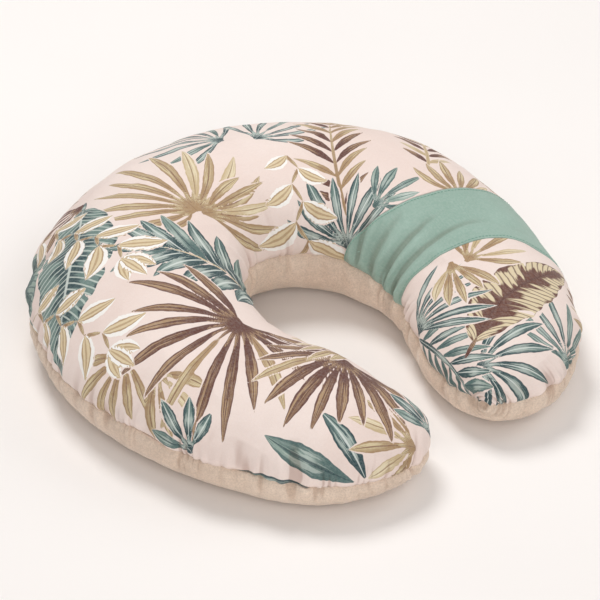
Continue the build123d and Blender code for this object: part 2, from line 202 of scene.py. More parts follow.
def normal(s, v, top):
    """Outward normal of the smooth skin, turning to point along the arm at its tip."""
    s, v = np.broadcast_arrays(np.asarray(s, float), np.asarray(v, float))
    end = arm_end(s, 1.2)
    near = np.clip(s, -end, end)
    level = np.clip(v, 0.004, 0.996)
    ds, dv = 0.6, 0.003
    along = base(near + ds, level, top) - base(near - ds, level, top)
    across = base(near, level + dv, top) - base(near, level - dv, top)
    n = normalised(np.cross(along, across) if top else np.cross(across, along))
    _, _, nx, ny = centre(s)
    side = sign_of(s)
    forward = np.stack([ny * side, -nx * side, np.zeros_like(nx)], -1)
    blend = np.clip((np.abs(s) - end + 3.0) / 3.0, 0, 1)[..., None]
    return normalised(n * (1 - blend) + forward * blend)


# ------------------------------------------------------------------ noise
def hashed(cell, seed):
    """Integer hash of a lattice cell, as a number from -1 to 1."""
    x, y, z = (cell[..., axis] for axis in range(3))
    h = (x * 73856093) ^ (y * 19349663) ^ (z * 83492791) ^ (seed * 2654435761)
    h = h & 0xFFFFFFFF
    h = ((h ^ (h >> 15)) * 2246822519) & 0xFFFFFFFF
    h = ((h ^ (h >> 13)) * 3266489917) & 0xFFFFFFFF
    h = h ^ (h >> 16)
    return h.astype(float) / 2147483648.0 - 1.0


def noise(points, seed):
    points = np.asarray(points, float)
    cell = np.floor(points)
    f = points - cell
    u = f * f * f * (f * (6 * f - 15) + 10)
    cell = cell.astype(np.int64)
    total = 0
    for corner in np.ndindex(2, 2, 2):
        weight = 1
        for axis in range(3):
            weight = weight * (u[..., axis] if corner[axis] else 1 - u[..., axis])
        total = total + weight * hashed(cell + np.array(corner), seed)
    return total


def noise_line(x, seed):
    x = np.asarray(x, float)
    return noise(np.stack([x, np.zeros_like(x) + 0.37, np.zeros_like(x) + 0.71], -1), seed)


# ------------------------------------------------------------------ cloth relief
# Creases in the front: from (s, v) to (s, v), width mm, height mm
FOLDS = [
    (236, 0.06, 214, 0.34, 7, -2.2), (246, 0.05, 232, 0.30, 6, 1.9),
    (262, 0.04, 250, 0.36, 8, -2.4), (276, 0.05, 268, 0.30, 7, 2.0),
    (292, 0.04, 284, 0.34, 7, -2.0), (306, 0.05, 300, 0.28, 6, 1.6),
    (318, 0.03, 316, 0.26, 6, -1.6), (226, 0.04, 196, 0.30, 8, 1.9),
    (205, 0.05, 172, 0.26, 8, -1.8), (-60, 0.05, -82, 0.30, 9, -1.9),
    (-110, 0.05, -128, 0.26, 9, 1.6), (30, 0.04, 22, 0.26, 9, -1.8),
    (78, 0.05, 92, 0.30, 9, 1.7), (120, 0.05, 138, 0.26, 9, -1.7),
    (-170, 0.05, -190, 0.28, 9, -1.7), (-232, 0.06, -246, 0.26, 8, 1.4),
    (-300, 0.05, -306, 0.22, 8, -1.4), (-352, 0.05, -352, 0.22, 8, 1.4),
    (-409, 1.0, -398, 0.80, 6, -3.4), (-418, 1.0, -404, 0.84, 5, 2.6),
    (-398, 1.0, -386, 0.84, 6, 2.4), (-372, 1.0, -362, 0.86, 7, -1.8),
    (-340, 1.0, -332, 0.84, 8, 1.6), (-300, 1.0, -296, 0.84, 9, -1.5),
    (-121, 0.99, -136, 0.74, 8, -2.6), (-106, 0.99, -112, 0.76, 8, 2.2),
    (-140, 0.99, -156, 0.78, 8, 2.2), (430, 0.98, 420, 0.80, 8, -1.8),
    (452, 0.95, 436, 0.78, 8, 1.8), (398, 0.98, 392, 0.82, 8, 1.5),
    (300, 0.03, 282, 0.52, 7, 2.3), (312, 0.04, 300, 0.60, 6, -2.2),
    (324, 0.06, 310, 0.62, 7, 1.9), (288, 0.10, 272, 0.66, 8, -1.9),
    (330, 0.30, 322, 0.86, 8, 1.5), (276, 0.40, 268, 0.90, 9, 1.4),
    (0, 0.96, -4, 0.80, 10, -1.2), (48, 0.96, 52, 0.80, 10, 1.2),
    (-50, 0.96, -58, 0.80, 10, 1.1),
]
FOLD_GAIN = 1.45
FOLD_SPAN = 235.0  # nominal length across the front, which turns v into mm

# Tuck in the outer seam near the -X tip: s, width along, reach from the seam, height
TUCK = [(-409, 6.5, 8.0, 4.6), (-399, 6.0, 12.0, -2.2), (-421, 6.0, 10.0, -1.8)]

# Bumps at the zip's ends: s, reach on front, reach on back, height, its variation, seed
ZIP_BUMPS = [(-ZIP_END_S, 26.0, 16.0, 3.4, 1.5, 71), (ZIP_END_S, 22.0, 14.0, 2.0, 1.2, 72)]


def zip_share(s):
    """1 where the zip opening is, easing to 0 past its ends."""
    angle = 90 - np.degrees(np.asarray(s) / CROWN_RADIUS)
    return ease((angle - ZIP_START + 1.5) / 3.0) * ease((ZIP_END + 1.5 - angle) / 3.0)


def ridge(x):
    return 1 - 2 * np.abs(x)


def fold(s, v, crease_row):
    s0, v0, s1, v1, width, height = crease_row
    ds, dv = s1 - s0, (v1 - v0) * FOLD_SPAN
    from_s, from_v = s - s0, (v - v0) * FOLD_SPAN
    t = np.clip((from_s * ds + from_v * dv) / (ds * ds + dv * dv), 0, 1)
    away = np.hypot(from_s - t * ds, from_v - t * dv)
    return height * bell(away, width) * (1 - t) ** 0.6


def gathers(s, dist, side, zipped):
    """Cloth drawn up square to the inner (side 0) or outer (side 1) seam."""
    end = arm_end(s, 0.2)
    skewed = np.clip(s + 0.30 * dist * noise_line(s / 46.0, 11 + side), -end, end)
    seam = base(skewed, np.full_like(skewed, side), True)
    large = noise(seam / 15.0, 21 + side)
    small = noise(seam / 7.5, 31 + side)
    strength = 0.55 + 0.45 * noise(seam / 60.0, 41 + side)
    reach = 17.0 + 8.0 * noise(seam / 30.0, 51 + side)
    calm = 1 - 0.6 * zipped * side  # the zip holds the outer seam flatter
    pleats = large + 0.55 * small * np.exp(-dist / 10.0)
    out = strength * 3.5 * np.exp(-dist / reach) * pleats * calm
    phase = noise(seam / 34.0, 81 + side) * 26.0 + (seam[..., 0] * 0.23 + seam[..., 1] * 0.19)
    out = out + (0.35 + 0.65 * strength) * 1.8 * np.sin(phase) * bell(dist - 4.0, 19.0) * calm
    if side == 0:
        # longer ridges round the inside of the crown
        crown = ease((300 - np.abs(s)) / 90.0)
        ridges = ridge(noise(seam / 24.0, 61))
        out = out + crown * 2.6 * bell(dist - 6, 34.0) * ridges * ease(dist / 10.0)
    return out


def relief(s, v, top):
    """Height of the cloth over the smooth skin."""
    s, v = np.broadcast_arrays(np.asarray(s, float), np.asarray(v, float))
    across = perimeter(s, top)
    to_inner, to_outer = v * across, (1 - v) * across
    to_seam = np.minimum(to_inner, to_outer)
    zipped = zip_share(s)
    point = base(s, v, top)
    # soft lumps of the filling, fading where the tips narrow
    lumps = 2.2 * noise(point / 72.0, 1) + 1.25 * noise(point / 34.0, 2)
    lumps = lumps + 0.40 * noise(point / 14.0, 3) + 0.55 * ridge(noise(point / 42.0, 4)) ** 3
    out = lumps * ease(across / 90.0)
    # valley along the seams, shallow at the zip
    depth = np.where(to_outer < to_inner, 1 - 0.75 * zipped, 1.0)
    out = out - depth * (2.6 * np.exp(-(to_seam / 2.6) ** 1.4) + 1.9 * np.exp(-to_seam / 12.0))
    for side, dist in ((0, to_inner), (1, to_outer)):
        out = out + gathers(s, dist, side, zipped)
    if top:
        for row in FOLDS:
            out = out + FOLD_GAIN * fold(s, v, row)
    for place, width, reach, height in TUCK:
        out = out + height * bell(s - place, width) * bell(to_outer, reach)
    for place, front_reach, back_reach, height, vary, seed in ZIP_BUMPS:
        bump = bell(s - place, 20.0) * bell(to_outer, front_reach if top else back_reach)
        out = out + bump * (height + vary * noise_line(s / 6.0, seed))
    return out


# The shaders paint shade into the valleys and a highlight onto the ridges that this measures.
def crease(s, v, top):
    """Ridges positive, valleys negative: height against the cloth to either side."""
    end = arm_end(s, 1.0)
    before, after = (relief(np.clip(s + d, -end, end), v, top) for d in (-6.5, 6.5))
    return relief(s, v, top) - (before + after) / 2


def skin(s, v, top, off=0.0):
    """Cloth surface, off mm inside the outside face, kept at least off above the floor."""
    s, v = np.broadcast_arrays(np.asarray(s, float), np.asarray(v, float))
    points = base(s, v, top) + normal(s, v, top) * (relief(s, v, top) - off)[..., None]
    z = points[..., 2]
    softness = 1.6
    settled = off + np.logaddexp(0, (z - off) / softness) * softness
    settled = np.minimum(settled, np.maximum(z, off) + 0.9)
    points[..., 2] = np.where(z - off > 12, z, settled)
    if not top:
        # press the back flat on the floor
        z = points[..., 2]
        points[..., 2] = np.maximum(z - 0.9 * np.exp(-np.maximum(z - off, 0) / 3.0), off)
    return points


# ------------------------------------------------------------------ meshes
def grid_quads(index):
    corners = [index[:-1, :-1], index[:-1, 1:], index[1:, 1:], index[1:, :-1]]
    return np.stack(corners, -1).reshape(-1, 4)


def ring_quads(index):
    """Quads between successive closed rings."""
    return grid_quads(np.concatenate([index, index[:, :1]], 1))


def facing(faces, top):
    return faces[:, ::-1] if top else faces


def tip_rows(side, step):
    arm = ARMS[side]
    count = int(arm.tip_length * 1.25 / step)
    phi = np.linspace(0, math.pi / 2, count + 1)[:-1]
    return arm.length - arm.tip_length * (1 - np.sin(phi) ** (2 / TIP_POWER))


def rows_between(start, end, step):
    """Stations from start to end; None stands for the tip of the -X or +X arm."""
    first = -(ARMS[-1].length - ARMS[-1].tip_length) if start is None else start
    last = ARMS[1].length - ARMS[1].tip_length if end is None else end
    parts = [np.linspace(first, last, int((last - first) / step) + 1)]
    if start is None:
        parts.insert(0, -tip_rows(-1, step)[::-1][:-1])
    if end is None:
        parts.append(tip_rows(1, step)[1:])
    return np.concatenate(parts)


def length_share(points):
    """Running share of a column's length, kept a little clear of 0 and 1."""
    steps = np.linalg.norm(np.diff(points, axis=0), axis=1)
    length = np.concatenate([[0], np.cumsum(steps)])
    return 0.02 + 0.96 * length / length[-1]


class Patch:
    """A grid of skin points with a pole where it reaches a tip.

    stations holds each point's (s, v); rim and rim_share run round the border.
    """

    def __init__(self, start, end, step, columns, top, off=0.0, start_edge=None, end_edge=None):
        self.top = top
        rows = rows_between(start, end, step)[:, None]
        v = np.broadcast_to(np.linspace(0, 1, columns), (len(rows), columns))
        s = np.repeat(rows, columns, 1)
        # pull the rows near an end over to its curved edge
        if end_edge is not None:
            if start is None:
                pull = np.clip((s - (end - 130)) / 130, 0, 1)
            else:
                pull = (s - start) / (end - start)
            s = s + pull * (end_edge(v) - end)
        if start_edge is not None:
            reach = 40.0 if end is None else end - start
            pull = np.clip(1 - (rows - start) / reach, 0, 1)
            s = s + pull * (start_edge(v) - start)
        # the front and back part round the zip opening
        kept = 1 - ZIP_GAP / np.maximum(perimeter(s, top), 1)
        v = v * (1 + (kept - 1) * zip_share(s))
        grid = skin(s, v, top, off)
        index = np.arange(s.size).reshape(s.shape)
        points = [grid.reshape(-1, 3)]
        stations = [np.stack([s.ravel(), v.ravel()], -1)]
        poles, tris = {}, []
        for side, at_tip, row in ((-1, start is None, 0), (1, end is None, -1)):
            if not at_tip:
                continue
            # the pole sits between the last row's two ends, a little further out
            _, _, nx, ny = centre(side * (ARMS[side].length - 0.02))
            forward = np.array([ny * side, -nx * side, 0.0]) * 0.35
            points.append(((grid[row, 0] + grid[row, -1]) / 2 + forward)[None])
            stations.append(np.array([[side * ARMS[side].length, 0.5]]))
            pole = poles[side] = index.size + len(poles)
            for a, b in zip(index[row, :-1], index[row, 1:]):
                tris.append((pole, b, a) if side < 0 else (pole, a, b))
        self.points = np.concatenate(points)
        self.stations = np.concatenate(stations)
        self.quads = facing(grid_quads(index), top)
        self.tris = facing(np.array(tris, int).reshape(-1, 3), top)
        self.trace_rim(index, grid, poles)

    def trace_rim(self, index, grid, poles):
        """Start row, outer column, end row, inner column; each takes 1 of the share's 4."""
        across = np.linspace(0, 1, index.shape[1])[:-1]
        outer, inner = length_share(grid[:, -1]), length_share(grid[:, 0])
        to_start = slice(None) if -1 in poles else slice(None, -1)
        to_end = slice(None) if 1 in poles else slice(None, -1)
        parts = [
            ([poles[-1]], [0.5]) if -1 in poles else (index[0, :-1], across),
            (index[:, -1][to_end], 1 + outer[to_end]),
            ([poles[1]], [2.5]) if 1 in poles else (index[-1, ::-1][:-1], 2 + across),
            (index[::-1, 0][to_start], (3 + (1 - inner[::-1]))[to_start]),
        ]
        self.rim = np.concatenate([part[0] for part in parts])
        self.rim_share = np.concatenate([part[1] for part in parts])


def bridge(loop_a, shares_a, loop_b, shares_b):
    """Triangles between two closed loops that carry the same running share."""
    def following(shares, i):
        if i + 1 < len(shares):
            return shares[i + 1]
        return shares[0] + 4 if i < len(shares) else 1e9

    i = j = 0
    count_a, count_b = len(loop_a), len(loop_b)
    tris = []
    while i < count_a or j < count_b:
        a, b = loop_a[i % count_a], loop_b[j % count_b]
        if following(shares_a, i) <= following(shares_b, j):
            i += 1
            tris.append((a, loop_a[i % count_a], b))
        else:
            j += 1
            tris.append((a, loop_b[j % count_b], b))
    return np.array(tris)


def mesh_object(name, points, quads, tris=(), attributes=None):
    """Smooth-shaded object from points in mm; attributes are per point."""
    mesh = bpy.data.meshes.new(name)
    points = np.asarray(points, np.float32) * MM
    quads = np.asarray(quads, np.int32).reshape(-1, 4)
    tris = np.asarray(tris, np.int32).reshape(-1, 3)
    mesh.vertices.add(len(points))
    mesh.vertices.foreach_set("co", points.ravel())
    corners = np.concatenate([quads.ravel(), tris.ravel()]).astype(np.int32)
    mesh.loops.add(len(corners))
    mesh.loops.foreach_set("vertex_index", corners)
    starts = [np.arange(len(quads)) * 4, quads.size + np.arange(len(tris)) * 3]
    starts = np.concatenate(starts).astype(np.int32)
    mesh.polygons.add(len(starts))
    mesh.polygons.foreach_set("loop_start", starts)
    mesh.update(calc_edges=True)
    mesh.validate()
    mesh.polygons.foreach_set("use_smooth", np.ones(len(mesh.polygons), bool))
    for key, values in (attributes or {}).items():
        kind, field = ("FLOAT", "value") if values.ndim == 1 else ("FLOAT_VECTOR", "vector")
        layer = mesh.attributes.new(key, kind, "POINT")
        layer.data.foreach_set(field, np.asarray(values, np.float32).ravel())
    ob = bpy.data.objects.new(name, mesh)
    bpy.context.scene.collection.objects.link(ob)
    return ob


def solid_object(*args, **options):
    """Mesh object with its face normals turned outwards."""
    ob = mesh_object(*args, **options)
    bm = bmesh.new()
    bm.from_mesh(ob.data)
    bmesh.ops.recalc_face_normals(bm, faces=bm.faces)
    bm.to_mesh(ob.data)
    bm.free()
    return ob


def shell(name, start, end, step, columns, top, attributes=None, start_edge=None,
          end_edge=None, off=0.0, coarse=5.0, thick=2.0):
    """A closed cloth panel: dense outside, rolled-in edge, coarse lining side."""
    outside = Patch(start, end, step, columns, top, off, start_edge, end_edge)
    lining_columns = max(int(columns * step / coarse), 14)
    lining = Patch(start, end, coarse, lining_columns, top, off + thick, start_edge, end_edge)
    s, v = outside.stations.T
    inward = -normal(s, v, top)[outside.rim]
    points, quads = [outside.points], [outside.quads]
    ring, total = outside.rim, len(outside.points)
    for depth in (0.7, thick * 0.8):
        points.append(outside.points[outside.rim] + inward * depth)
        deeper = np.arange(total, total + len(ring))
        quads.append(facing(ring_quads(np.stack([ring, deeper])), top))
        total += len(ring)
        ring = deeper
    points.append(lining.points)
    quads.append((lining.quads + total)[:, ::-1])
    joint = bridge(ring, outside.rim_share, lining.rim + total, lining.rim_share)
    tris = [outside.tris, (lining.tris + total)[:, ::-1], facing(joint, top)]
    points = np.concatenate(points)
    return solid_object(name, points, np.concatenate(quads), np.concatenate(tris),
                        attributes=attributes(outside, len(points)) if attributes else None)


# ------------------------------------------------------------------ printed pattern
# A tropical-leaf print, drawn as tapered strokes in the flat cloth (mm).  Each
# colour keeps a signed distance, so its edges stay crisp.
INK_NAMES = "BTCWDGL"  # brown, tan, cream, white, dark teal, mid teal, light teal
FAR = 30.0             # signed distance where there is no ink


def flat_cloth(s, v):
    cx, cy, nx, ny = centre(s)
    arc = (v - 0.5) * perimeter(s, True) * 0.85
    return cx + nx * arc, cy + ny * arc


def left_of(a):
    return np.array([-a[1], a[0]])


def turned(a, degrees):
    c, s = math.cos(math.radians(degrees)), math.sin(math.radians(degrees))
    return np.array([a[0] * c - a[1] * s, a[0] * s + a[1] * c])


def curve_point(p0, pc, p1, t):
    return (1 - t) ** 2 * p0 + 2 * t * (1 - t) * pc + t * t * p1


def curve_aim(p0, pc, p1, t):
    return normalised((1 - t) * (pc - p0) + t * (p1 - pc))


def taper(along, peak, blunt):
    """Stroke width along its length: 0 at both ends, 1 at the peak."""
    g = np.where(along < peak, along / peak, (1 - along) / (1 - peak))
    power = np.where(along < peak, blunt, 0.95)
    return np.clip(np.sin(np.clip(g, 0, 1) * math.pi / 2), 0, 1) ** power


class Print:
    def __init__(self, seed=7):
        self.strokes = []
        self.rng = np.random.RandomState(seed)

    def stroke(self, ink, p0, pc, p1, width, tone=None, peak=0.4, blunt=0.55):
        """Tapered stroke along a quadratic curve; width is full, ink "." clears."""
        tone = self.rng.rand() if tone is None else tone
        p0, pc, p1 = (np.array(p, float) for p in (p0, pc, p1))
        self.strokes.append((ink, p0, pc, p1, width / 2, tone, peak, blunt))

    def leaflet(self, ink, p0, p1, width, bend=0.1, peak=0.5, gap=1.5, blunt=1.0):
        """One pointed leaf with a clear edge round it."""
        p0, p1 = np.array(p0, float), np.array(p1, float)
        d = p1 - p0
        c = (p0 + p1) / 2 + left_of(d) * bend
        self.stroke(".", p0 + d * 0.16, c + d * 0.02, p1 + d * 0.01, width + 2 * gap,
                    peak=peak, blunt=blunt)
        self.stroke(ink, p0, c, p1, width, peak=peak, blunt=blunt)

    def palm(self, inks, hub, aim, spread, count, length, width, bend):
        """Fan palm: blades from one point, drawn from the outside in."""
        hub = np.array(hub, float)
        stubs = []
        for i in sorted(range(count), key=lambda i: -abs(i - (count - 1) / 2.0)):
            f = i / (count - 1) - 0.5
            r = self.rng.rand(4)
            a = math.radians(aim + spread * f + 4 * (r[0] - 0.5))
            u = np.array([math.cos(a), math.sin(a)])
            blade = length * (1.0 - 0.40 * abs(f) ** 1.4) * (0.88 + 0.24 * r[1])
            ink = inks[0] if r[3] < 0.8 else inks[1]
            blade_width, blade_bend = width * (0.84 + 0.34 * r[2]), bend * (2 * f)
            self.leaflet(ink, hub + u * 3, hub + u * blade, blade_width, blade_bend,
                         peak=0.62, blunt=1.15)
            stubs.append((u, blade, blade_bend, blade_width))
        # the blades run together at the stalk
        for u, blade, blade_bend, blade_width in stubs:
            e = u * blade * 0.30
            w = left_of(e) * blade_bend * 0.35
            self.stroke(inks[0], hub - u * 3, hub + e * 0.5 + w, hub + e,
                        max(blade_width * 0.46, 3.2), peak=0.25, blunt=0.3, tone=0.31)

    def frond(self, inks, p0, p1, count, reach, width, bow):
        """Feather palm: paired leaflets along a curved rib."""
        p0, p1 = np.array(p0, float), np.array(p1, float)
        d = p1 - p0
        c = (p0 + p1) / 2 + left_of(d) * bow
        for i in range(count):
            q = 0.10 + 0.86 * i / (count - 1)
            foot, aim = curve_point(p0, c, p1, q), curve_aim(p0, c, p1, q)
            swell = math.sin(math.pi * min(0.16 + 0.80 * q, 1)) ** 0.7
            for side in (1, -1):
                r = self.rng.rand(3)
                u = turned(aim, side * (38 + 16 * (1 - q) + 6 * (r[0] - 0.5)))
                tip = foot + u * reach * swell * (0.9 + 0.2 * r[1])
                self.leaflet(inks[0] if r[2] < 0.7 else inks[1], foot, tip, width,
                             -0.12 * side, peak=0.42, gap=1.2)
        self.leaflet(inks[0], p1 - d * 0.05, p1 + normalised(p1 - c) * reach * 0.55, width,
                     0.03, gap=1.0)
        self.stroke(inks[1], p0, c, p1, 3.4, peak=0.15)

    def lobed(self, inks, p0, p1, count, reach, width):
        """Cut leaf: fat curved lobes from a midrib."""
        p0, p1 = np.array(p0, float), np.array(p1, float)
        d = p1 - p0
        aim = normalised(d)
        for i in range(count):
            q = 0.04 + 0.86 * i / (count - 1)
            foot = p0 + d * q
            swell = 0.62 + 0.5 * math.sin(math.pi * (0.12 + 0.75 * q))
            for side in (1, -1):
                r = self.rng.rand(3)
                u = turned(aim, side * (64 - 32 * q + 6 * (r[0] - 0.5)))
                tip = foot + u * reach * swell * (0.92 + 0.16 * r[1])
                self.leaflet(inks[0] if r[2] < 0.6 else inks[1], foot - u * 2, tip,
                             width * (1.10 - 0.3 * q), -0.15 * side, peak=0.50, gap=1.0,
                             blunt=0.6)
        self.leaflet(inks[0], p1 - d * 0.10, p1 + aim * reach * 0.75, width * 0.9, 0.05, gap=1.0)
        self.stroke(inks[2], p0 - d * 0.12, (p0 + p1) / 2, p1 + aim * reach * 0.3, 3.2,
                    peak=0.2, tone=0.5)

    def broad(self, ink, p0, p1, width, bow, splits):
        """Banana leaf: smooth outline with a few splits; its ribs are drawn by the dye."""
        p0, p1 = np.array(p0, float), np.array(p1, float)
        d = p1 - p0
        aim = normalised(d)
        c = (p0 + p1) / 2 + left_of(d) * bow
        self.stroke(".", p0, c, p1 + aim * 3, 2 * width + 3.4, peak=0.42, blunt=0.6)
        self.stroke(ink, p0, c, p1, 2 * width, peak=0.42, blunt=0.6, tone=2.0 + self.rng.rand())
        for i in range(splits):
            q = 0.14 + 0.74 * (i + 0.5 * self.rng.rand()) / splits
            f, t = curve_point(p0, c, p1, q), curve_aim(p0, c, p1, q)
            w = width * taper(q, peak=0.42, blunt=0.6)
            n = left_of(t) * (1 if i % 2 else -1)
            ends = [f + n * w * out + t * w * on for out, on in
                    ((1.15, 0.75), (0.86, 0.48), (0.62, 0.30))]
            self.stroke(".", *ends, 3.0 + 1.6 * self.rng.rand(), peak=0.12, blunt=0.5)
        self.stroke(ink, p0 - aim * 14, p0 - aim * 6, p0 + aim * 4, 4.0, peak=0.6, blunt=0.3)

    def sprig(self, p0, p1, count, size):
        """Hanging flower: bracts edged in white, in turn to either side of a stem."""
        p0, p1 = np.array(p0, float), np.array(p1, float)
        d = p1 - p0
        u = normalised(d)
        m = left_of(u)
        stem = [p0 + d * (i / count) + m * (size * 0.16 if i % 2 else -size * 0.16)
                for i in range(count + 1)]
        for a, b in zip(stem[:-1], stem[1:]):
            self.stroke("T", a, (a + b) / 2, b, 3.4, peak=0.5, blunt=0.15, tone=0.2)
        for i in range(count):
            side = 1 if i % 2 else -1
            z = size * (0.80 + 0.35 * i / count)
            tip = stem[i] + u * z * 0.70 + m * side * z * 1.02
            self.leaflet("W", stem[i], tip, z * 0.60, -0.16 * side, peak=0.45, gap=0.6, blunt=0.6)
        for side in (1, -1, 0):
            tip = stem[-1] + u * size * (1.15 if side == 0 else 0.95) + m * side * size * 0.48
            self.leaflet("W", stem[-1], tip, size * 0.50, 0.1 * side, gap=0.6, blunt=0.6)

    def fields(self, x, y):
        """Signed distance of every ink, and each point's place within its leaf.

        Leaf columns: offset from the midline (1 at the edge), length along (cm),
        tone, share along.
        """
        ink_fields = np.full((len(INK_NAMES), len(x)), FAR, np.float32)
        leaf = np.zeros((len(x), 4), np.float32)
        best = np.full(len(x), 2.5, np.float32)
        for ink, p0, pc, p1, half, tone, peak, blunt in self.strokes:
            c = curve_point(p0, pc, p1, np.linspace(0, 1, 18)[:, None])
            low, high = c.min(0) - (half + 3.0), c.max(0) + (half + 3.0)
            near = (x > low[0]) & (x < high[0]) & (y > low[1]) & (y < high[1])
            idx = np.nonzero(near)[0]
            if not len(idx):
                continue
            # nearest place on the curve
            q = np.stack([x[idx], y[idx]], -1)
            a, ab = c[:-1], c[1:] - c[:-1]
            squared = np.maximum((ab ** 2).sum(1), 1e-9)
            t = np.clip(((q[:, None] - a) * ab).sum(-1) / squared, 0, 1)
            e = q[:, None] - (a + t[..., None] * ab)
            dist = np.hypot(e[..., 0], e[..., 1])
            k = dist.argmin(1)
            r = np.arange(len(idx))
            dist, e = dist[r, k], e[r, k]
            along = (k + t[r, k]) / len(a)
            side = np.sign(ab[k, 0] * e[:, 1] - ab[k, 1] * e[:, 0])
            # width there, with a slightly uneven edge
            w = half * taper(along, peak, blunt)
            w = w * (1 + 0.04 * np.sin(along * 23 + tone * 40)
                     + 0.03 * np.sin(along * 57 + tone * 90))
            signed = (dist - w).astype(np.float32)
            own = INK_NAMES.find(ink)
            for j, field in enumerate(ink_fields):
                if j == own:
                    field[idx] = np.minimum(field[idx], signed)
                else:
                    field[idx] = np.maximum(field[idx], -signed)
            if own < 0:
                continue
            take = (signed < 0) | (signed < best[idx])
            taken = idx[take]
            leaf[taken, 0] = np.clip(side * dist / np.maximum(w, 0.7), -1.6, 1.6)[take]
            leaf[taken, 1] = (along * np.sqrt(squared).sum() / 10.0)[take]
            leaf[taken, 2] = tone
            leaf[taken, 3] = along[take]
            best[taken] = np.where(signed[take] < 0, 0.0, signed[take])
        return ink_fields, leaf


BROWN, SAND, RUST = ("B", "T"), ("T", "C"), ("B", "C")
TEAL, MIST, PALE = ("D", "G"), ("G", "D"), ("G", "L")
palm, frond, broad, sprig = Print.palm, Print.frond, Print.broad, Print.sprig
leaflet, lobed = Print.leaflet, Print.lobed

# In drawing order, later over earlier.  Columns after the ink or inks:
# palm     hub, aim and spread in degrees, blades, length, width, bend
# frond    foot, tip, leaflet pairs, reach, width, bow
# broad    foot, tip, half width, bow, splits
# lobed    foot, tip, lobe pairs, reach, width
# leaflet  foot, tip, width, bend
# sprig    top, end, bracts, size (no ink given)
LAYOUT = [
    # crown
    (palm, TEAL, (30, 165), 125, 150, 9, 88, 7, 0.10),
    (palm, TEAL, (60, 150), 20, 120, 7, 75, 7, 0.12),
    (palm, BROWN, (-120, 180), 170, 120, 7, 64, 7, 0.12),
    (palm, SAND, (-58, 96), 92, 200, 13, 98, 10, 0.25),
    (palm, SAND, (-52, 90), 350, 60, 5, 84, 8, 0.16),
    (frond, BROWN, (70, 20), (150, 150), 10, 54, 7, 0.08),
    (frond, RUST, (165, 20), (215, 110), 8, 40, 7, -0.08),
    (palm, TEAL, (55, 10), 50, 140, 8, 70, 10, 0.12),
    (palm, PALE, (100, 15), 0, 100, 5, 50, 8, 0.10),
    (palm, SAND, (165, -25), 60, 80, 6, 60, 7, 0.14),
    (sprig, (70, 110), (20, 22), 6, 30),
    # -X side
    (broad, "D", (-125, 170), (-262, 40), 36, 0.06, 5),
    (broad, "G", (-175, 200), (-245, 130), 22, 0.06, 4),
    (palm, SAND, (-215, -20), 190, 120, 6, 62, 9, 0.10),
    (lobed, ("D", "G", "W"), (-50, -5), (-125, 62), 6, 58, 18),
    (palm, SAND, (-205, -55), 255, 80, 4, 60, 10, 0.12),
    (palm, BROWN, (-122, -56), 195, 215, 15, 112, 10, 0.16),
    (palm, TEAL, (-228, -120), 60, 100, 4, 46, 10, 0.1),
    (sprig, (-160, 190), (-152, 70), 8, 30),
    (sprig, (-235, 130), (-215, 0), 8, 28),
    # -X tip
    (leaflet, "G", (-132, -236), (-172, -160), 21, 0.12),
    (leaflet, "D", (-122, -240), (-124, -176), 17, -0.10),
    (leaflet, "D", (-168, -222), (-216, -160), 17, 0.12),
    (leaflet, "G", (-178, -214), (-226, -196), 13, -0.12),
    (palm, SAND, (-64, -232), 150, 120, 6, 58, 9, 0.12),
    (palm, BROWN, (-66, -138), 206, 168, 12, 88, 10, 0.14),
    (palm, SAND, (-38, -112), 180, 60, 5, 66, 8, 0.14),
    (palm, TEAL, (-35, -222), 90, 100, 5, 44, 10, 0.1),
    # +X tip
    (palm, MIST, (130, -228), 75, 110, 7, 68, 8, 0.12),
    (palm, TEAL, (45, -195), 325, 120, 7, 78, 9, 0.12),
    (frond, MIST, (38, -110), (28, -205), 8, 44, 7, 0.08),
    (broad, "B", (58, -176), (208, -132), 27, 0.08, 2),
    (palm, TEAL, (42, -108), 345, 80, 7, 78, 7, 0.12),
    (palm, SAND, (120, -95), 20, 110, 6, 56, 7, 0.14),
    (palm, SAND, (108, -88), 245, 70, 5, 58, 8, 0.12),
    (palm, BROWN, (210, -195), 120, 100, 6, 50, 8, 0.1),
    # outer parts of the crown and sides
    (palm, TEAL, (196, 200), 205, 110, 7, 62, 8, 0.12),
    (palm, SAND, (-25, 268), 262, 110, 7, 56, 7, 0.14),
    (palm, BROWN, (235, 60), 0, 120, 9, 64, 8, 0.12),
    (palm, TEAL, (-240, 210), 150, 110, 8, 64, 8, 0.12),
    (palm, SAND, (108, 246), 235, 100, 6, 52, 7, 0.14),
    (palm, BROWN, (-122, 252), 300, 90, 6, 52, 7, 0.14),
    (palm, MIST, (210, -60), 350, 110, 7, 58, 8, 0.12),
    (palm, SAND, (220, -10), 10, 120, 7, 54, 8, 0.12),
]
PRINT = Print()
for draw, *row in LAYOUT:
    draw(PRINT, *row)


def padded(values, total, fill=0.0):
    """Values for the outside points, then a fill for the rest of the mesh."""
    out = np.full((total,) + values.shape[1:], fill, np.float32)
    out[:len(values)] = values
    return out


def cloth_attributes(patch, total):
    """cloth: flat x, y and distance to the nearer seam; crease: ridge or valley height, which
    sets the painted crease shade and ridge highlight.
    """
    s, v = patch.stations.T
    x, y = flat_cloth(s, v)
    to_seam = np.minimum(v, 1 - v) * perimeter(s, patch.top)
    return {"cloth": padded(np.stack([x, y, to_seam], -1), total),
            "crease": padded(crease(s, v, patch.top), total)}


def print_attributes(patch, total):
    ink_fields, leaf = PRINT.fields(*flat_cloth(*patch.stations.T))
    return {
        "ink_a": padded(ink_fields[:3].T, total, FAR),
        "ink_w": padded(ink_fields[3], total, FAR),
        "ink_b": padded(ink_fields[4:].T, total, FAR),
        "leaf": padded(leaf[:, :3], total),
        "along": padded(leaf[:, 3], total),
        **cloth_attributes(patch, total),
    }


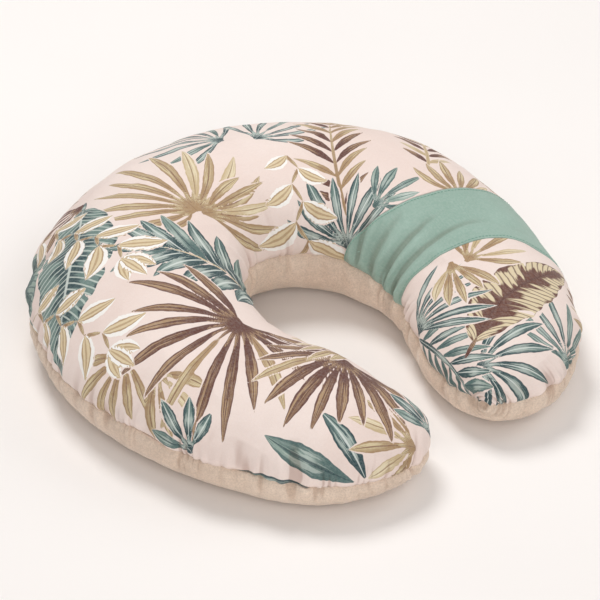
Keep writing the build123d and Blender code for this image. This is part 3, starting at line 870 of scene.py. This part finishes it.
# ------------------------------------------------------------------ shader building
class Shader:
    def __init__(self, name):
        self.material = bpy.data.materials.new(name)
        self.material.use_nodes = True
        self.tree = self.material.node_tree
        self.surface = self.tree.nodes["Principled BSDF"]

    def put(self, socket, value):
        if hasattr(value, "is_output"):
            self.tree.links.new(value, socket)
        elif isinstance(value, tuple) and len(value) == 3 and socket.type == "RGBA":
            socket.default_value = (*value, 1)
        else:
            socket.default_value = value

    def node(self, kind, inputs, **settings):
        node = self.tree.nodes.new(kind)
        for key, value in settings.items():
            setattr(node, key, value)
        for key, value in inputs.items():
            self.put(node.inputs[key], value)
        return node

    def math(self, operation, a, b=0.0):
        return self.node("ShaderNodeMath", {0: a, 1: b}, operation=operation).outputs[0]

    def plus(self, a, b):
        return self.math("ADD", a, b)

    def minus(self, a, b):
        return self.math("SUBTRACT", a, b)

    def times(self, a, b):
        return self.math("MULTIPLY", a, b)

    def greater(self, a, b):
        return self.math("MAXIMUM", a, b)

    def jitter(self, value, field, amount):
        """Value shifted by a noise field about its middle."""
        return self.plus(value, self.times(self.minus(field, 0.5), amount))

    def mix(self, share, a, b, blend="MIX"):
        return self.node("ShaderNodeMix", {0: share, 6: a, 7: b}, data_type="RGBA",
                         blend_type=blend).outputs[2]

    def tint(self, colour, toward, mask, amount, blend="MIX"):
        return self.mix(self.times(mask, amount), colour, toward, blend)

    def step(self, value, start, end, before=0.0, after=1.0):
        """Smooth step from before to after, as value goes from start to end."""
        inputs = dict(enumerate((value, start, end, before, after)))
        return self.node("ShaderNodeMapRange", inputs,
                         interpolation_type="SMOOTHSTEP").outputs[0]

    def attribute(self, name, output="Vector"):
        return self.node("ShaderNodeAttribute", {}, attribute_name=name).outputs[output]

    def noise(self, vector, scale, detail=2.0, roughness=0.5, distortion=0.0):
        return self.node("ShaderNodeTexNoise", {
            "Vector": vector, "Scale": scale, "Detail": detail,
            "Roughness": roughness, "Distortion": distortion}).outputs[0]

    def wave(self, vector, scale, direction, distortion):
        return self.node("ShaderNodeTexWave", {
            "Vector": vector, "Scale": scale, "Distortion": distortion},
            bands_direction=direction).outputs[1]

    def combine(self, x, y, z=0.0):
        return self.node("ShaderNodeCombineXYZ", {0: x, 1: y, 2: z}).outputs[0]

    def separate(self, vector):
        return self.node("ShaderNodeSeparateXYZ", {0: vector}).outputs

    def object_space(self):
        return self.node("ShaderNodeTexCoord", {}).outputs["Object"]

    def stretch(self, vector, factors):
        return self.node("ShaderNodeVectorMath", {0: vector, 1: factors},
                         operation="MULTIPLY").outputs[0]

    def bump(self, height, strength, distance):
        node = self.node("ShaderNodeBump", {
            "Height": height, "Strength": strength, "Distance": distance})
        self.put(self.surface.inputs["Normal"], node.outputs[0])

    def finish(self, colour, roughness, sheen=0.0, sheen_roughness=0.5, sheen_tint=None,
               specular=0.3):
        values = {"Base Color": colour, "Roughness": roughness,
                  "Specular IOR Level": specular, "Sheen Weight": sheen,
                  "Sheen Roughness": sheen_roughness}
        if sheen_tint:
            values["Sheen Tint"] = sheen_tint
        for key, value in values.items():
            self.put(self.surface.inputs[key], value)
        return self.material


def srgb(*channels):
    def linear(c):
        return c / 12.92 if c <= 0.04045 else ((c + 0.055) / 1.055) ** 2.4
    return tuple(linear(c / 255.0) for c in channels)


def scaled(colour, factor):
    return tuple(c * factor for c in colour)


WHITE = (1.0, 1.0, 1.0)


# ------------------------------------------------------------------ cotton
WEAVE_PITCH = 0.62  # mm
RIB_PITCH = 6.2     # mm between a banana leaf's side ribs

# sRGB of each ink: shade, light, midrib, side ribs
INKS = {
    "B": ((100, 62, 53), (176, 146, 113), (92, 56, 48), (92, 56, 48)),
    "T": ((168, 138, 102), (214, 198, 160), (132, 98, 76), (132, 98, 76)),
    "C": ((200, 178, 140), (230, 217, 186), (158, 128, 96), (158, 128, 96)),
    "D": ((42, 72, 77), (108, 133, 128), (214, 222, 217), (206, 216, 208)),
    "G": ((82, 110, 108), (146, 166, 157), (48, 76, 80), (60, 90, 92)),
    "L": ((140, 162, 153), (196, 208, 200), (86, 114, 112), (86, 114, 112)),
}
BROAD_BROWN = (srgb(110, 72, 60), srgb(222, 206, 172))  # banana leaf: shade, light


def weave(k):
    """Plain-weave height from the flat cloth's coordinates."""
    x, y, _ = k.separate(k.attribute("cloth"))
    x, y = (k.times(c, math.pi / WEAVE_PITCH) for c in (x, y))
    return k.times(k.math("SINE", x), k.math("SINE", y))


def plain_dye(k, broad_noise):
    return k.mix(k.step(broad_noise, start=0.3, end=0.7), srgb(143, 172, 159),
                 srgb(155, 183, 171))


def printed_dye(k, broad_noise):
    """Ground colour with the inks laid over it, each leaf shaded by its own noise."""
    colour = k.mix(k.step(broad_noise, start=0.35, end=0.65), srgb(236, 217, 209),
                   srgb(241, 225, 218))
    across, length, tone = k.separate(k.attribute("leaf"))
    leaf_id = k.times(tone, 57.0)

    def leaf_noise(across_scale, along_scale, detail, roughness):
        place = k.combine(k.times(across, across_scale), k.times(length, along_scale), leaf_id)
        return k.noise(place, scale=1.0, detail=detail, roughness=roughness)

    wobble = leaf_noise(across_scale=0.7, along_scale=0.35, detail=2, roughness=0.5)
    streak = leaf_noise(across_scale=4.0, along_scale=0.22, detail=3, roughness=0.6)
    fine_streak = leaf_noise(across_scale=14.0, along_scale=0.5, detail=2, roughness=0.6)
    edge = k.math("ABSOLUTE", across)
    coin = k.noise(k.combine(leaf_id, leaf_id), scale=3.7, detail=0)
    flip = k.minus(k.times(k.step(coin, start=0.44, end=0.46), 2.0), 1.0)
    along = k.attribute("along", "Fac")
    # shade at a leaf's base, edge, streaks and one side
    streaks = k.step(streak, start=0.53, end=0.60)
    foot = k.step(k.jitter(along, streak, amount=1.3), start=0.56, end=0.36)
    border = k.step(k.jitter(edge, wobble, amount=0.7), start=0.66, end=0.82)
    one_side = k.step(k.jitter(k.times(across, flip), wobble, amount=1.2), start=0.18, end=0.34)
    shade = k.greater(k.greater(foot, border),
                      k.greater(k.times(streaks, 0.9), k.times(one_side, 0.6)))
    rib = k.step(edge, start=0.07, end=0.16, before=1.0, after=0.0)
    # banana leaves (tone from 2 up): side ribs that sweep forward from the midrib
    is_broad = k.step(tone, start=1.4, end=1.6)
    run = k.minus(k.times(length, 10.0), k.times(edge, 17.0))
    ripple = k.math("SINE", k.times(run, 2 * math.pi / RIB_PITCH))
    band = k.noise(k.combine(k.times(run, 0.11), k.times(across, 0.3), leaf_id), scale=1.0)
    side_rib = k.times(is_broad, k.step(ripple, start=0.55, end=0.85))
    broad_shade = k.greater(k.step(k.jitter(edge, band, amount=2.6), start=0.46, end=0.30),
                            k.step(k.jitter(edge, band, amount=1.2), start=0.90, end=1.0))
    middle = k.math("ABSOLUTE", k.minus(along, 0.52))
    shine = k.times(k.step(k.jitter(middle, streak, amount=1.1), start=0.16, end=0.04),
                    k.step(edge, start=0.85, end=0.6))
    shade = k.mix(is_broad, shade, broad_shade)
    broad_rib = k.step(edge, start=0.025, end=0.06, before=1.0, after=0.0)
    rib = k.mix(is_broad, rib, broad_rib)

    def white_ink():
        """White border, tan line and sandy middle."""
        rim = k.step(k.jitter(edge, wobble, amount=0.4), start=0.60, end=0.52)
        ink = k.mix(rim, srgb(250, 247, 243), srgb(176, 146, 110))
        core = k.step(k.jitter(edge, wobble, amount=0.5), start=0.46, end=0.36)
        ink = k.mix(core, ink, srgb(222, 204, 168))
        return k.tint(ink, srgb(182, 152, 116), rib, amount=0.8)

    def leaf_ink(name):
        dark, light, midrib, side_ribs = (srgb(*c) for c in INKS[name])
        if name == "B":
            dark = k.mix(is_broad, dark, BROAD_BROWN[0])
            light = k.mix(is_broad, light, BROAD_BROWN[1])
        ink = k.mix(shade, light, dark)
        if name in "DG":
            amount = k.minus(0.75, k.times(is_broad, 0.75))
            ink = k.tint(ink, srgb(186, 198, 191), shine, amount)
        ink = k.tint(ink, midrib, rib, amount=0.85)
        return k.tint(ink, side_ribs, side_rib, amount=0.75)

    ink_a = k.separate(k.attribute("ink_a"))
    ink_b = k.separate(k.attribute("ink_b"))
    distances = [*ink_a, k.attribute("ink_w", "Fac"), *ink_b]
    ragged = k.times(k.minus(fine_streak, 0.5), 0.35)
    for name, distance in zip(INK_NAMES, distances):
        mask = k.step(k.plus(distance, ragged), start=0.22, end=-0.22)
        colour = k.mix(mask, colour, white_ink() if name == "W" else leaf_ink(name))
    return colour


def cotton(name, dye):
    """Slubby plain-weave cotton, with painted shade in its creases and a painted highlight on its
    ridges.
    """
    k = Shader(name)
    cloth = k.attribute("cloth")
    place = k.object_space()
    # thicker threads, long in one direction and then in the other
    slub_a, slub_b = (
        k.noise(k.stretch(cloth, factors), scale=1.0, detail=3, roughness=0.6)
        for factors in ((0.09, 1.6, 1.0), (1.6, 0.09, 1.0)))
    broad_noise = k.noise(place, scale=9.0, detail=3, roughness=0.55)
    fine = k.noise(place, scale=420.0)
    colour = dye(k, broad_noise)
    for toward, field, start, end, amount in (
            ((0.30, 0.26, 0.24), slub_a, 0.45, 0.8, 0.10),
            ((1.0, 0.98, 0.95), slub_b, 0.45, 0.8, 0.08),
            (WHITE, fine, 0.35, 0.75, 0.06)):
        colour = k.tint(colour, toward, k.step(field, start, end), amount)
    woven = weave(k)
    folds = k.attribute("crease", "Fac")
    # painted shade: the dye is darkened in the cloth's valleys; painted highlight: it is
    # lightened a little on the ridges
    painted_crease_shade = k.step(folds, start=-0.15, end=-2.0)
    colour = k.tint(colour, (0.60, 0.50, 0.46), painted_crease_shade, amount=0.62, blend="MULTIPLY")
    painted_ridge_highlight = k.step(folds, start=0.3, end=2.0)
    colour = k.tint(colour, (1.10, 1.10, 1.10), painted_ridge_highlight, amount=0.30, blend="MULTIPLY")
    slubs = k.plus(k.times(slub_a, 0.5), k.times(slub_b, 0.5))
    crumple = k.noise(place, scale=160.0, detail=3, roughness=0.6)
    height = k.plus(k.plus(k.times(woven, 0.35), slubs), k.times(crumple, 0.7))
    k.bump(height, strength=0.35, distance=0.0004)
    roughness = k.step(fine, start=0.2, end=0.8, before=0.72, after=0.88)
    return k.finish(colour, roughness, sheen=0.12, sheen_tint=(1, 0.96, 0.92), specular=0.22)


# ------------------------------------------------------------------ other materials
def velour(name, dark, light):
    k = Shader(name)
    place = k.object_space()
    broad_noise = k.noise(place, scale=14.0, detail=4, roughness=0.6)
    nap = k.noise(k.stretch(place, (1, 1, 1.6)), scale=95.0, detail=4, roughness=0.65,
                  distortion=0.4)
    pile = k.noise(place, scale=620.0, detail=3, roughness=0.7)
    tuft = k.noise(place, scale=300.0, roughness=0.6)
    colour = k.mix(k.step(broad_noise, start=0.3, end=0.7), dark, light)
    brushed = tuple(min(1, c) for c in scaled(light, 1.25))
    colour = k.tint(colour, brushed, k.step(nap, start=0.40, end=0.66), amount=0.28)
    colour = k.tint(colour, scaled(dark, 0.55), k.step(pile, start=0.60, end=0.36), amount=0.30)
    # painted shade: the velour is darkened in the cloth's valleys
    painted_crease_shade = k.step(k.attribute("crease", "Fac"), start=-0.15, end=-2.2)
    colour = k.tint(colour, (0.62, 0.52, 0.46), painted_crease_shade, amount=0.50, blend="MULTIPLY")
    height = k.plus(k.times(pile, 0.6), k.plus(k.times(tuft, 0.8), k.times(nap, 1.5)))
    k.bump(height, strength=0.6, distance=0.0009)
    return k.finish(colour, 0.95, sheen=0.55, sheen_roughness=0.35,
                    sheen_tint=(1, 0.93, 0.86), specular=0.1)


def yarn(name, base_colour, pitch=0.0012):
    """Twisted thread: fine diagonal ply and a little lustre; pitch in metres."""
    k = Shader(name)
    place = k.object_space()
    ply = k.wave(place, scale=1.0 / pitch / 3.2, direction="DIAGONAL", distortion=1.5)
    fuzz = k.noise(place, scale=900.0)
    twist = k.step(ply, start=0.2, end=0.8)
    colour = k.mix(twist, scaled(base_colour, 0.78), base_colour)
    colour = k.tint(colour, WHITE, fuzz, amount=0.25)
    k.bump(k.plus(ply, fuzz), strength=0.5, distance=0.0003)
    return k.finish(colour, 0.55, sheen=0.2, specular=0.35)


def woven_tape(name, base_colour):
    k = Shader(name)
    place = k.object_space()
    rows = k.wave(place, scale=190.0, direction="Z", distortion=0.6)
    fuzz = k.noise(place, scale=520.0, detail=3)
    colour = k.mix(rows, scaled(base_colour, 0.82), base_colour)
    colour = k.tint(colour, WHITE, fuzz, amount=0.2)
    k.bump(k.plus(k.times(rows, 0.8), fuzz), strength=0.6, distance=0.0004)
    return k.finish(colour, 0.85, sheen=0.1)


def nylon(name, base_colour):
    k = Shader(name)
    grain = k.noise(k.object_space(), scale=700.0, detail=3)
    mottle = k.step(grain, start=0.3, end=0.7)
    colour = k.mix(mottle, scaled(base_colour, 0.88), base_colour)
    k.bump(grain, strength=0.15, distance=0.0002)
    roughness = k.step(grain, start=0.3, end=0.7, before=0.32, after=0.45)
    return k.finish(colour, roughness, specular=0.5)


def enamel(name, base_colour):
    """Sprayed zip metal, rubbed through a little on its edges."""
    k = Shader(name)
    place = k.object_space()
    edges = k.node("ShaderNodeNewGeometry", {}).outputs["Pointiness"]
    scratches = k.noise(k.stretch(place, (1, 1, 14)), scale=120.0, detail=3, roughness=0.7)
    speck = k.noise(place, scale=900.0)
    wear = k.times(k.step(edges, start=0.52, end=0.60), k.step(scratches, start=0.45, end=0.6))
    mottle = k.step(speck, start=0.3, end=0.7)
    colour = k.mix(mottle, scaled(base_colour, 0.92), base_colour)
    colour = k.mix(wear, colour, (0.55, 0.52, 0.48))
    k.put(k.surface.inputs["Metallic"], k.times(wear, 0.9))
    k.bump(k.plus(speck, scratches), strength=0.12, distance=0.0002)
    roughness = k.step(scratches, start=0.3, end=0.7, before=0.28, after=0.42)
    return k.finish(colour, roughness, specular=0.5)


def satin(name, base_colour):
    k = Shader(name)
    place = k.object_space()
    warp = k.noise(k.stretch(place, (1, 1, 0.06)), scale=900.0)
    fluff = k.noise(place, scale=60.0, detail=3)
    mottle = k.step(warp, start=0.3, end=0.7)
    colour = k.mix(mottle, scaled(base_colour, 0.90), base_colour)
    colour = k.tint(colour, (0.8, 0.74, 0.68), fluff, amount=0.12)
    k.bump(warp, strength=0.25, distance=0.0002)
    k.put(k.surface.inputs["Anisotropic"], 0.5)
    return k.finish(colour, 0.42, sheen=0.1, specular=0.5)


def nonwoven(name, base_colour):
    """Bonded casing: speckled fibres and small point bonds."""
    k = Shader(name)
    place = k.object_space()
    cells = k.node("ShaderNodeTexVoronoi", {"Vector": place, "Scale": 420.0})
    fibres = k.noise(place, scale=260.0, detail=4, roughness=0.7)
    bonds = k.step(cells.outputs["Distance"], start=0.16, end=0.28)
    colour = k.mix(bonds, scaled(base_colour, 0.80), base_colour)
    colour = k.tint(colour, (0.72, 0.70, 0.67), fibres, amount=0.25)
    k.bump(k.plus(bonds, fibres), strength=0.4, distance=0.0004)
    return k.finish(colour, 0.8)


def fibre(name, base_colour):
    k = Shader(name)
    place = k.object_space()
    a, b = (
        k.noise(k.stretch(place, factors), scale=scale, detail=5, roughness=0.7, distortion=1.5)
        for factors, scale in (((1, 6, 1), 60.0), ((6, 1, 2), 70.0)))
    mottle = k.step(a, start=0.35, end=0.65)
    colour = k.mix(mottle, scaled(base_colour, 0.84), base_colour)
    k.bump(k.plus(a, b), strength=0.9, distance=0.002)
    return k.finish(colour, 1.0, sheen=0.3, specular=0.1)


MATERIALS = {name: build(name, *inputs) for name, build, *inputs in (
    ("printed_cotton", cotton, printed_dye),
    ("accent_cotton", cotton, plain_dye),
    ("back_velour", velour, srgb(222, 201, 183), srgb(231, 212, 195)),
    ("accent_thread", yarn, srgb(86, 160, 138)),
    ("seam_thread", yarn, srgb(236, 222, 208)),
    ("zip_tape", woven_tape, srgb(222, 206, 190)),
    ("zip_coil", nylon, srgb(226, 212, 198)),
    ("zip_enamel", enamel, srgb(221, 205, 188)),
    ("label_satin", satin, srgb(246, 243, 239)),
    ("insert_casing", nonwoven, srgb(240, 238, 234)),
    ("fibre_fill", fibre, srgb(246, 246, 244)),
)}


def dress(ob, material, replaced):
    """Give a piece its material and put it in place of a frame node."""
    ob.data.materials.append(MATERIALS[material])
    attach(ob, "cover")
    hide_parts(replaced)


# ------------------------------------------------------------------ cover panels
# Curved edges of the band: place across the section (-1 inner, 1 outer), s
START_EDGE = [(-1, 207), (-0.89, 222), (-0.72, 234), (-0.49, 242), (-0.2, 250), (0.12, 257),
              (0.38, 259.5), (0.7, 261), (1.0, 262.0)]
END_EDGE = [(-1, 337), (-0.92, 334), (-0.5, 331), (0.0, 328), (0.24, 328), (0.51, 330),
            (0.75, 334), (1.0, 338.0)]
EDGE_GAP = 0.3  # each panel stops this far short of the joint


def smooth_curve(table):
    xs, stations = zip(*table)
    t = np.linspace(-1, 1, 201)
    kernel = np.exp(-(np.linspace(-2, 2, 31)) ** 2)
    raw = np.pad(np.interp(t, xs, stations), 15, mode="reflect", reflect_type="odd")
    smooth = np.convolve(raw, kernel / kernel.sum(), "valid")
    return lambda v, shift=0.0: np.interp(section(v, True)[0], t, smooth) + shift


band_start, band_end = smooth_curve(START_EDGE), smooth_curve(END_EDGE)

# Object, material, frame node, and shell: start, end, step, columns, front or not, options
PANELS = [
    ("front_long", "printed_cotton", "front_panel_long", None, BAND_START, 1.62, 166, True,
     dict(attributes=print_attributes, end_edge=lambda v: band_start(v, -EDGE_GAP))),
    ("front_short", "printed_cotton", "front_panel_short", BAND_END, None, 1.15, 205, True,
     dict(attributes=print_attributes, start_edge=lambda v: band_end(v, EDGE_GAP))),
    ("band", "accent_cotton", "accent_band", BAND_START, BAND_END, 1.1, 215, True,
     dict(attributes=cloth_attributes, start_edge=lambda v: band_start(v, EDGE_GAP),
          end_edge=lambda v: band_end(v, -EDGE_GAP))),
    ("back", "back_velour", "back_panel", None, None, 2.0, 118, False,
     dict(attributes=cloth_attributes)),
]
for name, material, node, start, end, step, columns, top, options in PANELS:
    panel = shell(name, start, end, step * COARSEN, int(columns / COARSEN), top, **options)
    dress(panel, material, node)


# ------------------------------------------------------------------ threads
# One stitch: share along, girth, rise
STITCH_PROFILE = [(0.0, 0.35, -0.30), (0.12, 0.8, 0.25), (0.35, 1.0, 0.75),
                  (0.65, 1.0, 0.75), (0.88, 0.8, 0.25), (1.0, 0.35, -0.30)]
STITCH_CAPS = np.array([(3, 2, 1, 0), (5, 4, 3, 0), (30, 31, 32, 33), (30, 33, 34, 35)])
STITCH_LIFT = 0.25


def stitches(name, lines, pitch, length, width, height):
    """Separate stitches lying on the cloth; each line is (points, normals)."""
    points, quads = [], []
    for path, normals in lines:
        steps = np.linalg.norm(np.diff(path, axis=0), axis=1)
        run = np.concatenate([[0], np.cumsum(steps)])

        def sample(table, q):
            return np.array([np.interp(q, run, table[:, i]) for i in range(3)])

        k = 0
        while (k + 1) * pitch < run[-1]:
            first, last = k * pitch, k * pitch + length
            a, b = sample(path, first), sample(path, last)
            n = sample(normals, (first + last) / 2)
            u = normalised(b - a)
            n = normalised(n - u * (n @ u))
            t = np.cross(n, u)
            start = len(points)
            for q, girth, rise in STITCH_PROFILE:
                lift = height * rise * 0.5 + STITCH_LIFT * (rise + 0.3) * 0.5
                c = a + (b - a) * q + n * lift
                for i in range(6):
                    angle = math.pi * 2 * i / 6
                    points.append(c + t * math.cos(angle) * width / 2 * girth
                                  + n * math.sin(angle) * height / 2 * girth)
            quads += [ring_quads(start + np.arange(36).reshape(6, 6)), start + STITCH_CAPS]
            k += 1
    return solid_object(name, np.array(points), np.concatenate(quads))


def line_on(s, v, off=0.0):
    """Points and normals along a line on the front."""
    return skin(s, v, True, off), normal(s, v, True)


def band_topstitching():
    across = np.linspace(0.02, 0.985, 500)
    inset = 3.0
    lines = [line_on(band_start(across) + inset, across),
             line_on(band_end(across) - inset, across)]
    return stitches("band_stitches", lines, pitch=3.6, length=2.9, width=0.62, height=0.45)


def tube(name, path, radius, sides=8):
    tangent = normalised(np.gradient(path, axis=0))
    up = np.zeros_like(tangent)
    up[:, 2] = 1
    a = normalised(np.cross(tangent, up))
    b = np.cross(a, tangent)
    angles = [2 * math.pi * i / sides for i in range(sides)]
    points = np.stack([path + (a * math.cos(q) + b * math.sin(q)) * radius for q in angles], 1)
    index = np.arange(len(path) * sides).reshape(-1, sides)
    tris = [(index[0, 0], index[0, i + 1], index[0, i]) for i in range(1, sides - 1)]
    tris += [(index[-1, 0], index[-1, i], index[-1, i + 1]) for i in range(1, sides - 1)]
    return solid_object(name, points.reshape(-1, 3), ring_quads(index), tris)


def seam_line(off, on_cloth, step):
    """Points off mm inside the seam: outer seam, round a tip, inner seam, and back.

    On the cloth it leaves out the zip; otherwise it follows the smooth skin.
    """
    surface = skin if on_cloth else base
    outer_right = rows_between(ZIP_END_S if on_cloth else 0.0, None, step)
    outer_left = rows_between(None, -ZIP_END_S if on_cloth else -2.0, step)
    inner_right = rows_between(0.0, None, step)[::-1]
    inner_left = rows_between(None, 0.0, step)[::-1][1:]
    parts = []
    for s, v in ((outer_right, 1.0), (inner_right, 0.0), (inner_left, 0.0), (outer_left, 1.0)):
        v = np.full_like(s, v)
        parts.append(surface(s, v, True) - normal(s, v, True) * off)
    points = np.concatenate(parts)
    keep = [0]
    for i in range(1, len(points)):
        if np.linalg.norm(points[i] - points[keep[-1]]) > 0.8:
            keep.append(i)
    return points[keep]


def seam_stitching():
    """Lockstitches that just show in the seam's valley."""
    path = seam_line(off=-0.35, on_cloth=True, step=2.0)
    along = np.gradient(path, axis=0)
    sideways = normalised(np.stack([along[:, 1], -along[:, 0], np.zeros(len(path))], -1))
    return stitches("seam_stitches", [(path, sideways)], pitch=3.4, length=2.5, width=0.55,
                    height=0.5)


dress(band_topstitching(), "accent_thread", "band_topstitching")
dress(seam_stitching(), "seam_thread", "perimeter_seam_thread")


# ------------------------------------------------------------------ zip tape and label
def zip_tape(name, bottom, top):
    """Tape of rectangular section bent round the crown, very slightly wavy."""
    rows, waviness = 9, 0.12
    a = np.radians(np.arange(ZIP_START - TAPE_OVERRUN, ZIP_END + TAPE_OVERRUN + 1e-6, 0.5))
    heights = np.linspace(bottom, top, rows)
    points = []
    for radius in (251.5, 252.1):
        for z in heights:
            from_middle = abs(z - heights.mean()) / (top - bottom) * 2
            r = radius + waviness * np.sin(a * 90 + z) * from_middle
            points.append(np.stack([r * np.cos(a), r * np.sin(a) + CENTRE_Y,
                                    np.full_like(a, z)], -1))
    index = np.arange(2 * rows * len(a)).reshape(2 * rows, len(a))
    ring = list(range(rows)) + list(range(2 * rows - 1, rows - 1, -1))
    quads = [grid_quads(index[[p, q]].T) for p, q in zip(ring, ring[1:] + ring[:1])]
    quads += [grid_quads(index[:, end].reshape(2, rows)) for end in (0, -1)]
    return solid_object(name, np.stack(points).reshape(-1, 3), np.concatenate(quads))


def care_label():
    """Folded satin label hanging from the outer seam of the crown, a little curled."""
    angle = math.radians(39.5)
    distance, top_z, drop = 256.35, 44.6, 33.0
    swing, fold_radius, half_width, half_thick = 0.9, 0.35, 12.5, 0.13
    outward = np.array([math.cos(angle), math.sin(angle), 0])
    sideways = np.array([-math.sin(angle), math.cos(angle), 0])
    # outward offset and height: down one leaf, round the fold, up the other
    path = [(swing * q * q, top_z - drop * q) for q in np.linspace(0, 1, 22)]
    path += [(swing + fold_radius - fold_radius * math.cos(q),
              top_z - drop - fold_radius * math.sin(q))
             for q in np.linspace(0, math.pi, 8)[1:-1]]
    path += [(2 * fold_radius + swing * q * q, top_z - drop * q)
             for q in np.linspace(1, 0, 22)]
    path = np.array(path)
    tangent = normalised(np.gradient(path, axis=0))
    across = np.stack([tangent[:, 1], -tangent[:, 0]], -1)
    us = np.linspace(-half_width, half_width, 15)
    points = []
    for offset in (-half_thick, half_thick):
        for r, z in path + across * offset:
            for u in us:
                curl = 0.5 * (u / half_width) ** 2 * (top_z - z) / drop
                curl += 0.25 * math.sin(u * 0.35 + z * 0.12)
                points.append(outward * (distance + r + curl) + sideways * u
                              + np.array([0, CENTRE_Y, z]))
    index = np.arange(len(points)).reshape(2, len(path), len(us))
    quads = [grid_quads(face) for face in index]
    quads += [grid_quads(index[:, :, column]) for column in (0, -1)]
    quads += [grid_quads(index[:, row]) for row in (0, -1)]
    return solid_object("label", np.array(points), np.concatenate(quads))


dress(zip_tape("zip_tape_up", 44.8, 53.5), "zip_tape", "zip_tape_upper")
dress(zip_tape("zip_tape_low", 34.5, 43.2), "zip_tape", "zip_tape_lower")
dress(care_label(), "label_satin", "care_label")


# ------------------------------------------------------------------ insert, under the cover
def closing_stitches():
    s = np.linspace(250, 340, 120)
    line = line_on(s, np.full_like(s, 1.0), off=5.9)
    return stitches("insert_closing", [line], pitch=4.5, length=2.4, width=0.6, height=0.4)


def fibre_fill():
    """Closed lump of filling: front and back welded, then roughened."""
    front, back = (Patch(None, None, 7.0, 34, top, off=11.0) for top in (True, False))
    shift = len(front.points)
    ob = mesh_object("fibre", np.concatenate([front.points, back.points]),
                     np.concatenate([front.quads, back.quads + shift]),
                     np.concatenate([front.tris, back.tris + shift]))
    bm = bmesh.new()
    bm.from_mesh(ob.data)
    bmesh.ops.remove_doubles(bm, verts=bm.verts, dist=0.0012)
    holes = [e for e in bm.edges if e.is_boundary]
    if holes:
        bmesh.ops.holes_fill(bm, edges=holes, sides=0)
        bmesh.ops.triangulate(bm, faces=[f for f in bm.faces if len(f.verts) > 4])
    bmesh.ops.recalc_face_normals(bm, faces=bm.faces)
    bm.normal_update()
    for vert in bm.verts:
        lump = noise(np.array([vert.co]) / 0.018, 91)[0]
        vert.co += vert.normal * float(lump * 0.0011 - 0.0008)
    bm.to_mesh(ob.data)
    bm.free()
    return ob


for side, columns, top in (("front", 56, True), ("back", 50, False)):
    casing = shell("insert_" + side, None, None, 4.0, columns, top, off=6.5, coarse=9.0,
                   thick=1.2)
    dress(casing, "insert_casing", "insert_casing_" + side)
insert_seam = tube("insert_seam", seam_line(off=9.0, on_cloth=False, step=6.0), radius=0.3)
dress(insert_seam, "seam_thread", "insert_seam_thread")
dress(closing_stitches(), "seam_thread", "insert_closing_stitches")
dress(fibre_fill(), "fibre_fill", "insert_fibre_fill")

# zip hardware keeps its own shape
HARDWARE = {
    "zip_coil": ("zip_coil_upper", "zip_coil_lower"),
    "zip_enamel": ("zip_top_stops", "zip_bottom_stop", "zip_slider_body", "zip_slider_bail",
                   "zip_pull_tab"),
}
for material, nodes in HARDWARE.items():
    for node in nodes:
        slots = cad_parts[node].data.materials
        slots.clear()
        slots.append(MATERIALS[material])


# ------------------------------------------------------------------ stage, camera, light
def floor():
    count, half_size = 60, 2600
    line = np.linspace(-1, 1, count) * half_size
    x, y = np.meshgrid(line, line, indexing="ij")
    index = np.arange(count * count).reshape(count, count)
    quads = np.roll(grid_quads(index)[:, ::-1], 1, axis=1)
    ob = mesh_object("floor", np.stack([x, y, np.zeros_like(x)], -1).reshape(-1, 3), quads)
    k = Shader("floor_cloth")
    place = k.object_space()
    colour = k.mix(k.noise(place, scale=3.0), srgb(246, 242, 240), srgb(250, 247, 245))
    k.bump(k.noise(place, scale=260.0, detail=3), strength=0.15, distance=0.0005)
    ob.data.materials.append(k.finish(colour, 0.9, specular=0.15))


def camera():
    """Camera looking down at the crown's centre from the -X, -Y side."""
    azimuth, elevation, roll = (math.radians(a) for a in (-39.96, 35.387, 1.894))
    distance = 3.138
    target = Vector((0, CENTRE_Y * MM, 0.0558))
    backward = Vector((math.sin(azimuth) * math.cos(elevation),
                       -math.cos(azimuth) * math.cos(elevation), math.sin(elevation)))
    level = Vector((math.cos(azimuth), math.sin(azimuth), 0))
    right = level * math.cos(roll) + backward.cross(level) * math.sin(roll)
    pose = Matrix((right, backward.cross(right), backward)).transposed().to_4x4()
    pose.translation = target + backward * distance
    data = bpy.data.cameras.new("cam")
    ob = bpy.data.objects.new("cam", data)
    bpy.context.scene.collection.objects.link(ob)
    ob.matrix_world = pose
    data.sensor_fit = "HORIZONTAL"
    data.sensor_width = 36.0
    data.lens = 202.44
    data.shift_x = -0.00615
    data.shift_y = -0.0080167
    data.clip_end = 50
    bpy.context.scene.camera = ob


def area_light(name, location, size, power, colour):
    data = bpy.data.lights.new(name, "AREA")
    data.shape = "DISK"
    data.size = size
    data.energy = power
    data.color = colour
    ob = bpy.data.objects.new(name, data)
    bpy.context.scene.collection.objects.link(ob)
    ob.location = location
    aim = Vector((0, 0, 0.05)) - Vector(location)
    ob.rotation_euler = aim.to_track_quat("-Z", "Y").to_euler()


def surroundings():
    world = bpy.data.worlds.new("world")
    bpy.context.scene.world = world
    world.use_nodes = True
    background = world.node_tree.nodes["Background"]
    background.inputs["Color"].default_value = (1.0, 0.985, 0.97, 1)
    background.inputs["Strength"].default_value = 0.34
    bpy.context.scene.view_settings.view_transform = "Standard"


floor()
camera()
# name, location (m), diameter (m), power (W), colour
for light in (("key", (0.1, 1.15, 2.5), 1.1, 38, (1.0, 0.985, 0.97)),
              ("fill", (-1.3, -2.1, 1.7), 2.0, 30, (1.0, 0.98, 0.96)),
              ("side", (2.2, -0.9, 1.9), 2.0, 17, (1.0, 0.97, 0.95))):
    area_light(*light)
surroundings()
